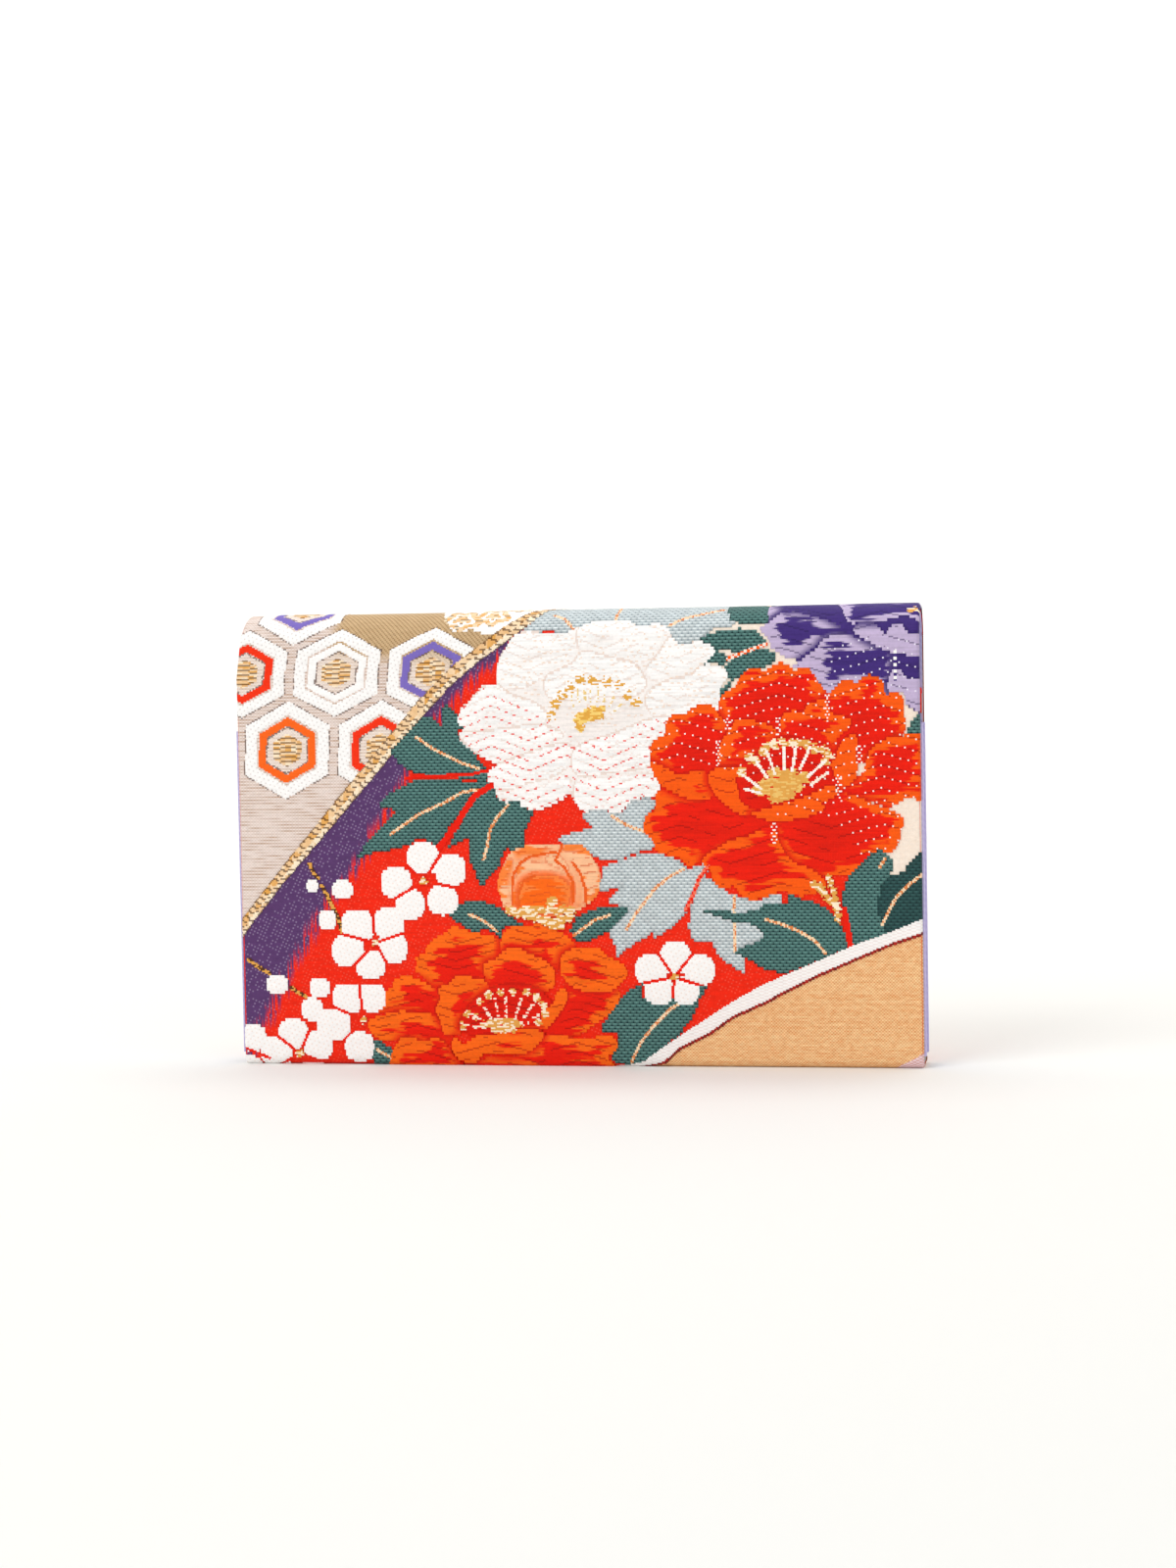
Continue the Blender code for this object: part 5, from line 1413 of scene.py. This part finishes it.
# %% Weave every piece
picture = {}
for number, name in enumerate(PIECES):
    if (paper.piece == number).any():
        picture[name] = weave_piece(name, paper, number)
    if (flap_paper.piece == number).any():
        picture["flap_" + name] = weave_piece("flap_" + name, flap_paper, number)
print({name: len(obj.data.polygons) for name, obj in picture.items()})

# %% [markdown]
# ## The cloth under the picture
#
# The strip itself is a plain thick sheet: a flat profile with rounded sides carried along the section. Its
# hems are part of the section, so they turn by themselves. A short strip of lining runs round the inside
# of the fold, where the lining of the bag and the lining of the flap part when the flap opens.

# %% Strip sheets
PROFILE_STEPS = 6
ACROSS_STEP, ALONG_STEP = 5.0, 6.0


def strip_sheet(name, line, low, high, thickness):
    """A closed sheet along a section line from one distance to another.

    The profile runs across the outer face, round a half circle, back across the inner face and round
    the other half circle. It is placed at every section distance between the two, and the ends are
    filled.
    """
    h_rows = line[(line[:, 0] > low + 0.01) & (line[:, 0] < high - 0.01), 0]
    long_runs = np.arange(low, high, ALONG_STEP)
    h_rows = np.unique(np.round(np.concatenate([h_rows, long_runs, [low, high]]), 4))
    radius = thickness / 2
    reach = HALF_WIDTH - 0.3 - radius
    across = np.linspace(-reach, reach, int(2 * reach / ACROSS_STEP) + 1)
    turn = np.linspace(0, math.pi, PROFILE_STEPS + 1)[1:-1]
    bulge, fall = radius * np.sin(turn), radius * np.cos(turn)
    top, under = np.zeros(len(across)), np.full(len(across), -thickness)
    profile_x = np.concatenate([across, reach + bulge, across[::-1], -reach - bulge])
    profile_lift = np.concatenate([top, fall - radius, under, -fall - radius])
    x, h = np.meshgrid(profile_x, h_rows)
    lift = np.broadcast_to(profile_lift, x.shape)
    y, z, out_y, out_z = (np.interp(h, line[:, 0], line[:, k]) for k in (1, 2, 3, 4))
    squeeze = (HALF_WIDTH - left_of(h)) / (2 * HALF_WIDTH)
    points = np.stack([HALF_WIDTH - (HALF_WIDTH - x) * squeeze, y + lift * out_y, z + lift * out_z], -1) * MM
    ring, rows = len(profile_x), len(h_rows)
    k = np.arange(rows - 1)[:, None] * ring
    j = np.arange(ring)[None, :]
    faces = np.stack([k + j, k + (j + 1) % ring, k + ring + (j + 1) % ring, k + ring + j], -1).reshape(-1, 4)
    n = len(across)
    a = np.arange(n - 1)
    inner = n + len(turn) + (n - 1 - np.arange(n))
    cap = np.stack([a, inner[:-1], inner[1:], a + 1], 1)
    caps = [cap, cap[:, ::-1] + (rows - 1) * ring]
    ends = []
    for corner, first in ((n - 1, n), (2 * n + len(turn) - 1, 2 * n + len(turn))):
        fan = [corner, *range(first, first + len(turn)), (first + len(turn)) % ring]
        ends.append(fan)
    every_face = np.concatenate([faces, *caps]).tolist()
    every_face += [fan[::-1] for fan in ends] + [[v + (rows - 1) * ring for v in fan] for fan in ends]
    obj = make_mesh(name, points.reshape(-1, 3).tolist(), every_face)
    shade_round(obj, 60)
    give_cloth_uv(obj, np.stack([x.ravel(), h.ravel()], 1))
    return obj


brocade_body = strip_sheet("brocade_body", section, H_START, FOLD_HEIGHT, BROCADE)
brocade_flap = strip_sheet("brocade_flap", section, FOLD_HEIGHT, H_END, BROCADE)

LINING_RADIUS, LINING_CLOTH = 7.9, 0.4
HIDDEN_END = math.radians(8)
lining_start = (-LINING_RADIUS * math.cos(HIDDEN_END), FOLD_HEIGHT + LINING_RADIUS * math.sin(HIDDEN_END))
fold_line = walk(lining_start, QUARTER - HIDDEN_END, [(0, LINING_RADIUS, math.pi - 2 * HIDDEN_END)])
fold_line[:, 0] += FOLD_HEIGHT
fold_lining = strip_sheet("fold_lining", fold_line, fold_line[0, 0], fold_line[-1, 0], LINING_CLOTH)
print("body sheet", len(brocade_body.data.polygons), "faces, flap sheet", len(brocade_flap.data.polygons))

# %% [markdown]
# ## Thread and cloth materials
#
# One silk material serves every woven piece: its colour comes from the face colours, which hold the thread
# colours together with the painted shadows, highlights and shade of the paper, and what is left for nodes is
# what all silk
# threads share: a fine twist, a soft shine along them and a slight unevenness of dye.

# %% Silk


def new_material(name):
    """A material with its nodes, its links and its shader."""
    material = bpy.data.materials.new(name)
    material.use_nodes = True
    nodes, links = material.node_tree.nodes, material.node_tree.links
    return material, nodes, links, nodes["Principled BSDF"]


def set_sockets(node, values):
    """Writes constant values on a node's own sockets."""
    for socket, value in values.items():
        node.inputs[socket].default_value = value


def add_node(nodes, kind, values=None, **settings):
    """A new node with its settings, such as an operation, and the constant values of its sockets."""
    node = nodes.new("ShaderNode" + kind)
    for setting, value in settings.items():
        setattr(node, setting, value)
    set_sockets(node, values or {})
    return node


BUMP_STRENGTH, BUMP_DISTANCE = 0.5, 0.1 * MM


def thread_bump(nodes, links, shader, vector, period):
    """Bump from two crossing waves, one for warp and one for weft."""
    both = add_node(nodes, "Math", operation="MULTIPLY")
    for number, direction in enumerate("XY"):
        scale = {"Scale": math.tau / (20 * period), "Distortion": 0.4}
        wave = add_node(nodes, "TexWave", scale, bands_direction=direction)
        links.new(vector, wave.inputs["Vector"])
        links.new(wave.outputs["Fac"], both.inputs[number])
    bump = add_node(nodes, "Bump", {"Strength": BUMP_STRENGTH, "Distance": BUMP_DISTANCE})
    links.new(both.outputs[0], bump.inputs["Height"])
    links.new(bump.outputs["Normal"], shader.inputs["Normal"])


def silk_material():
    """Silk thread: the face colours with their painted shade, a little lighter or darker by noise."""
    material, nodes, links, shader = new_material("jacquard_silk")
    dye_and_shade = add_node(nodes, "Attribute", attribute_name="dye_and_shade")
    uv = add_node(nodes, "UVMap", uv_map="cloth")
    noise = add_node(nodes, "TexNoise", {"Scale": 0.9, "Detail": 3.0})
    links.new(uv.outputs["UV"], noise.inputs["Vector"])
    span = add_node(nodes, "MapRange", {"From Min": 0.3, "From Max": 0.7, "To Min": 0.94, "To Max": 1.04})
    links.new(noise.outputs["Fac"], span.inputs["Value"])
    scale = add_node(nodes, "VectorMath", operation="SCALE")
    links.new(dye_and_shade.outputs["Color"], scale.inputs[0])
    links.new(span.outputs["Result"], scale.inputs["Scale"])
    links.new(scale.outputs["Vector"], shader.inputs["Base Color"])
    set_sockets(shader, {"Roughness": 0.55, "Specular IOR Level": 0.14})
    set_sockets(shader, {"Sheen Weight": 0.03, "Sheen Roughness": 0.4})
    thread_bump(nodes, links, shader, uv.outputs["UV"], 0.5)
    return material


silk = silk_material()
for obj in picture.values():
    obj.data.materials.append(silk)
print("meshes in silk:", silk.users)

# %% [markdown]
# ## Plain cloth
#
# The red satin of the strip and the lavender silk of the lining have no picture. An even colour would look
# like plastic, so two thread colours are crossed in a fine diagonal twill, made uneven by noise.

# %% Red satin and lavender lining
TWILL_SCALE = 0.3


def cloth_material(name, colour, weft, roughness, period):
    """Plain cloth: two thread colours in a fine diagonal twill, uneven by noise, with thread bump."""
    material, nodes, links, shader = new_material(name)
    coordinate = add_node(nodes, "TexCoord")
    scaled = add_node(nodes, "VectorMath", {"Scale": 1 / MM}, operation="SCALE")
    links.new(coordinate.outputs["Object"], scaled.inputs[0])
    noise = add_node(nodes, "TexNoise", {"Scale": 1.6, "Detail": 4.0})
    links.new(scaled.outputs["Vector"], noise.inputs["Vector"])
    twill_sizes = {"Scale": TWILL_SCALE, "Distortion": 1.2}
    twill = add_node(nodes, "TexWave", twill_sizes, bands_direction="DIAGONAL")
    links.new(scaled.outputs["Vector"], twill.inputs["Vector"])
    share = add_node(nodes, "Math", operation="MULTIPLY")
    links.new(noise.outputs["Fac"], share.inputs[0])
    links.new(twill.outputs["Fac"], share.inputs[1])
    blend = add_node(nodes, "Mix", data_type="RGBA")
    set_sockets(blend, {6: (*colour, 1), 7: (*weft, 1)})
    links.new(share.outputs[0], blend.inputs[0])
    links.new(blend.outputs[2], shader.inputs["Base Color"])
    set_sockets(shader, {"Roughness": roughness, "Specular IOR Level": 0.15, "Sheen Weight": 0.02})
    thread_bump(nodes, links, shader, scaled.outputs["Vector"], period)
    return material


red_cloth = cloth_material("red_satin", RED_GROUND, RED_GROUND * 0.55, 0.55, 0.5)
lining_cloth = cloth_material("lavender_lining", dyed(190, 180, 226), dyed(212, 204, 240), 0.6, 0.35)
for obj in (brocade_body, brocade_flap):
    obj.data.materials.append(red_cloth)
fold_lining.data.materials.append(lining_cloth)

print("plain cloths:", red_cloth.name, "and", lining_cloth.name)

# %% [markdown]
# ## Board and magnets
#
# Inside every panel is grey board, and a pair of thin plated magnets holds the flap down. They show only at
# the open ends, so noise alone gives the fibres of the board and the scratches of the plate.

# %% Board and plate


def board_material():
    """Grey board: fibres as fine noise between two greys."""
    material, nodes, links, shader = new_material("grey_board")
    coordinate = add_node(nodes, "TexCoord")
    noise = add_node(nodes, "TexNoise", {"Scale": 900.0, "Detail": 5.0})
    links.new(coordinate.outputs["Object"], noise.inputs["Vector"])
    ramp = add_node(nodes, "ValToRGB")
    ramp.color_ramp.elements[0].color = (*dyed(150, 144, 136), 1)
    ramp.color_ramp.elements[1].color = (*dyed(186, 180, 170), 1)
    links.new(noise.outputs["Fac"], ramp.inputs["Fac"])
    links.new(ramp.outputs["Color"], shader.inputs["Base Color"])
    set_sockets(shader, {"Roughness": 0.9})
    return material


def magnet_material():
    """Nickel plate with fine scratches, as noise in the roughness."""
    material, nodes, links, shader = new_material("nickel_plate")
    coordinate = add_node(nodes, "TexCoord")
    noise = add_node(nodes, "TexNoise", {"Scale": 2500.0})
    links.new(coordinate.outputs["Object"], noise.inputs["Vector"])
    span = add_node(nodes, "MapRange", {"To Min": 0.22, "To Max": 0.4})
    links.new(noise.outputs["Fac"], span.inputs["Value"])
    links.new(span.outputs["Result"], shader.inputs["Roughness"])
    set_sockets(shader, {"Base Color": (*dyed(200, 198, 192), 1), "Metallic": 1.0})
    return material


grey_board, nickel = board_material(), magnet_material()
FINISHES = [
    (lining_cloth, ["body_lining", "flap_lining", "slip_pocket", "gusset_left", "gusset_right"]),
    (grey_board, ["back_board", "base_board", "pocket_board", "flap_board"]),
    (nickel, ["pocket_magnet", "flap_magnet"]),
]
for finish, names in FINISHES:
    for name in names:
        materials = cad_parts[name].data.materials
        materials.clear()
        materials.append(finish)
print("materials:", [m.name for m in (silk, red_cloth, lining_cloth, grey_board, nickel)])

# %% [markdown]
# ## Hang the pieces on the frame
#
# What lies on the back panel rides the bag, what lies on the flap rides the flap, and what crosses the
# fold is fixed where it lies and rides neither.

# %% Ride the bag and the flap
STANDS_FOR = {
    "woven_ground": ("brocade", ["weave_purple_band"]),
    "woven_ground_top": ("brocade", []),
    "woven_hexagons": ("tan_silk", ["weave_hexagon_field"]),
    "woven_cord": ("gold_thread", ["weave_cord"]),
    "woven_cream": ("white_silk", ["weave_cream_field"]),
    "woven_tan": ("tan_silk", ["weave_tan_field"]),
    "woven_arc": ("white_silk", ["weave_arc"]),
    "leaves_dark": ("teal_silk", ["weave_leaf_"]),
    "leaves_top": ("teal_silk", ["weave_leaf_top"]),
    "leaves_pale": ("pale_silk", ["weave_leaf_pale_"]),
    "plum_blossoms": ("white_silk", ["weave_plum_"]),
    "peony_purple": ("purple_silk", ["weave_peony_purple"]),
    "peony_white": ("white_silk", ["weave_peony_white"]),
    "peony_red_left": ("red_silk", ["weave_peony_red_left"]),
    "peony_red_right": ("red_silk", ["weave_peony_red_right"]),
    "peony_bud": ("red_silk", ["weave_peony_bud"]),
    "flap_woven_cord": ("gold_thread", ["weave_flap_cord"]),
    "flap_plum_blossoms": ("white_silk", ["weave_flap_plum_"]),
}
shown_nodes = {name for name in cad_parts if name.startswith("weave_")}
for name in sorted(picture, key=lambda n: -len("".join(STANDS_FOR.get(n, ("", []))[1]))):
    slot, starts = STANDS_FOR.get(name, ("brocade", []))
    stood_for = sorted(node for node in shown_nodes if any(node.startswith(start) for start in starts))
    if stood_for:
        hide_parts(*stood_for)
        shown_nodes -= set(stood_for)
print("figures of the frame still shown:", sorted(shown_nodes))
for name, obj in picture.items():
    heights = np.array([v.co.z for v in obj.data.vertices])
    if name.startswith("flap_"):
        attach(obj, "flap")
    elif heights.max() > FOLD_HEIGHT * MM + 1e-6:
        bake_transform(obj)
    else:
        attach(obj, "bag")
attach(brocade_body, "bag")
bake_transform(brocade_flap)
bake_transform(fold_lining)
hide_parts("body_brocade")
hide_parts("flap_brocade")
for obj, run in ((brocade_body, FOLD_HEIGHT - H_START), (brocade_flap, H_END - FOLD_HEIGHT)):
    size = (2 * HALF_WIDTH * MM, run * MM)

# %% [markdown]
# ## Floor, backdrop, light and camera
#
# A pale table sweeps up into a warm white wall without a corner, lit by large soft panels. A flat floor and
# a wall would be simpler, but their corner would draw a line behind the bag.

# %% Floor and backdrop
SWEEP_START, SWEEP_RADIUS = 0.5, 0.9
FLOOR_FRONT, WALL_TOP, SIDE = -3.0, 4.0, 5.0
BACKDROP_COLOUR = (0.86, 0.855, 0.83)
turns = np.radians(np.linspace(0, 90, 25))
sweep_out, sweep_up = SWEEP_RADIUS * np.sin(turns), SWEEP_RADIUS - SWEEP_RADIUS * np.cos(turns)
sweep_y = np.concatenate([[FLOOR_FRONT], SWEEP_START + sweep_out, [SWEEP_START + SWEEP_RADIUS]])
sweep_z = np.concatenate([[0.0], sweep_up, [WALL_TOP]])
sweep_points = [(x, float(y), float(z)) for y, z in zip(sweep_y, sweep_z) for x in (-SIDE, SIDE)]
sweep_faces = [(2 * k, 2 * k + 1, 2 * k + 3, 2 * k + 2) for k in range(len(sweep_y) - 1)]
backdrop = make_mesh("backdrop", sweep_points, sweep_faces)
shade_round(backdrop, 60)
plaster, nodes, links, shader = new_material("backdrop")
set_sockets(shader, {"Base Color": (*BACKDROP_COLOUR, 1), "Roughness": 0.9, "Specular IOR Level": 0.1})
backdrop.data.materials.append(plaster)
print("backdrop rises from", SWEEP_START, "m behind the bag")

# %% [markdown]
# ## Light
#
# A shop photograph is lit from large windows or softboxes, so the shadows are weak. One sun lamp would give
# hard ones. Four rectangles stand for the window, its reflection, the ceiling and the light on the wall.

# %% Soft panels


def soft_panel(name, place, target, size, power, colour=(1, 1, 1)):
    """A rectangle of light that faces its target."""
    light = bpy.data.lights.new(name, "AREA")
    light.shape = "RECTANGLE"
    light.size, light.size_y = size
    light.energy = power
    light.color = colour
    obj = bpy.data.objects.new(name, light)
    bpy.context.scene.collection.objects.link(obj)
    obj.location = place
    direction = np.array(target, float) - np.array(place, float)
    yaw = math.atan2(direction[0], -direction[1])
    obj.rotation_euler = (math.acos(-direction[2] / np.linalg.norm(direction)), 0, yaw + math.pi)


soft_panel("key_light", (-0.9, -1.3, 1.4), (0, 0, 0.08), (1.2, 1.2), 17)
soft_panel("fill_light", (1.2, -1.3, 0.8), (0, 0, 0.07), (1.2, 1.2), 5)
soft_panel("top_light", (0, 0.2, 1.9), (0, 0.2, 0), (2.2, 2.2), 12)
soft_panel("wall_light", (0, 0.5, 1.6), (0, 1.4, 0.5), (3.0, 0.8), 13, (1.0, 0.99, 0.96))

world = bpy.data.worlds.new("room")
bpy.context.scene.world = world
world.use_nodes = True
ROOM_LIGHT = 0.42
set_sockets(world.node_tree.nodes["Background"], {"Color": (1, 1, 1, 1), "Strength": ROOM_LIGHT})
bpy.context.scene.view_settings.view_transform = "Standard"

print("lights:", len(bpy.data.lights))

# %% [markdown]
# ## Camera
#
# The camera stands a metre away at the height of the bag's top, a little to the right, and rolls by one
# degree, as the hand that took the photograph did. Its own three directions are worked out and put in its
# matrix, where a Track To constraint would keep it level.

# %% Camera
CAMERA_DISTANCE = 1.0
CAMERA_HEIGHT = 0.1449
CAMERA_SIDE = math.radians(10.38)
CAMERA_YAW = CAMERA_SIDE - math.radians(0.174)
CAMERA_PITCH = math.radians(-3.17)
CAMERA_ROLL = math.radians(-1.047)
LENS = 71.8

camera = bpy.data.cameras.new("camera")
camera.lens, camera.sensor_width, camera.sensor_fit = LENS, 36.0, "AUTO"
camera_object = bpy.data.objects.new("camera", camera)
bpy.context.scene.collection.objects.link(camera_object)
bpy.context.scene.camera = camera_object
forward = np.array([
    -math.sin(CAMERA_YAW) * math.cos(CAMERA_PITCH),
    math.cos(CAMERA_YAW) * math.cos(CAMERA_PITCH),
    math.sin(CAMERA_PITCH),
])
level = np.array([math.cos(CAMERA_YAW), math.sin(CAMERA_YAW), 0.0])
upright = np.cross(level, forward)
across = math.cos(CAMERA_ROLL) * level + math.sin(CAMERA_ROLL) * upright
above = math.cos(CAMERA_ROLL) * upright - math.sin(CAMERA_ROLL) * level
eye = (CAMERA_DISTANCE * math.sin(CAMERA_SIDE), -CAMERA_DISTANCE * math.cos(CAMERA_SIDE), CAMERA_HEIGHT)
rows = np.column_stack([across, above, -forward, eye])
camera_object.matrix_world = Matrix(np.vstack([rows, [0, 0, 0, 1]]).tolist())
print("camera at", [round(float(v), 3) for v in eye])
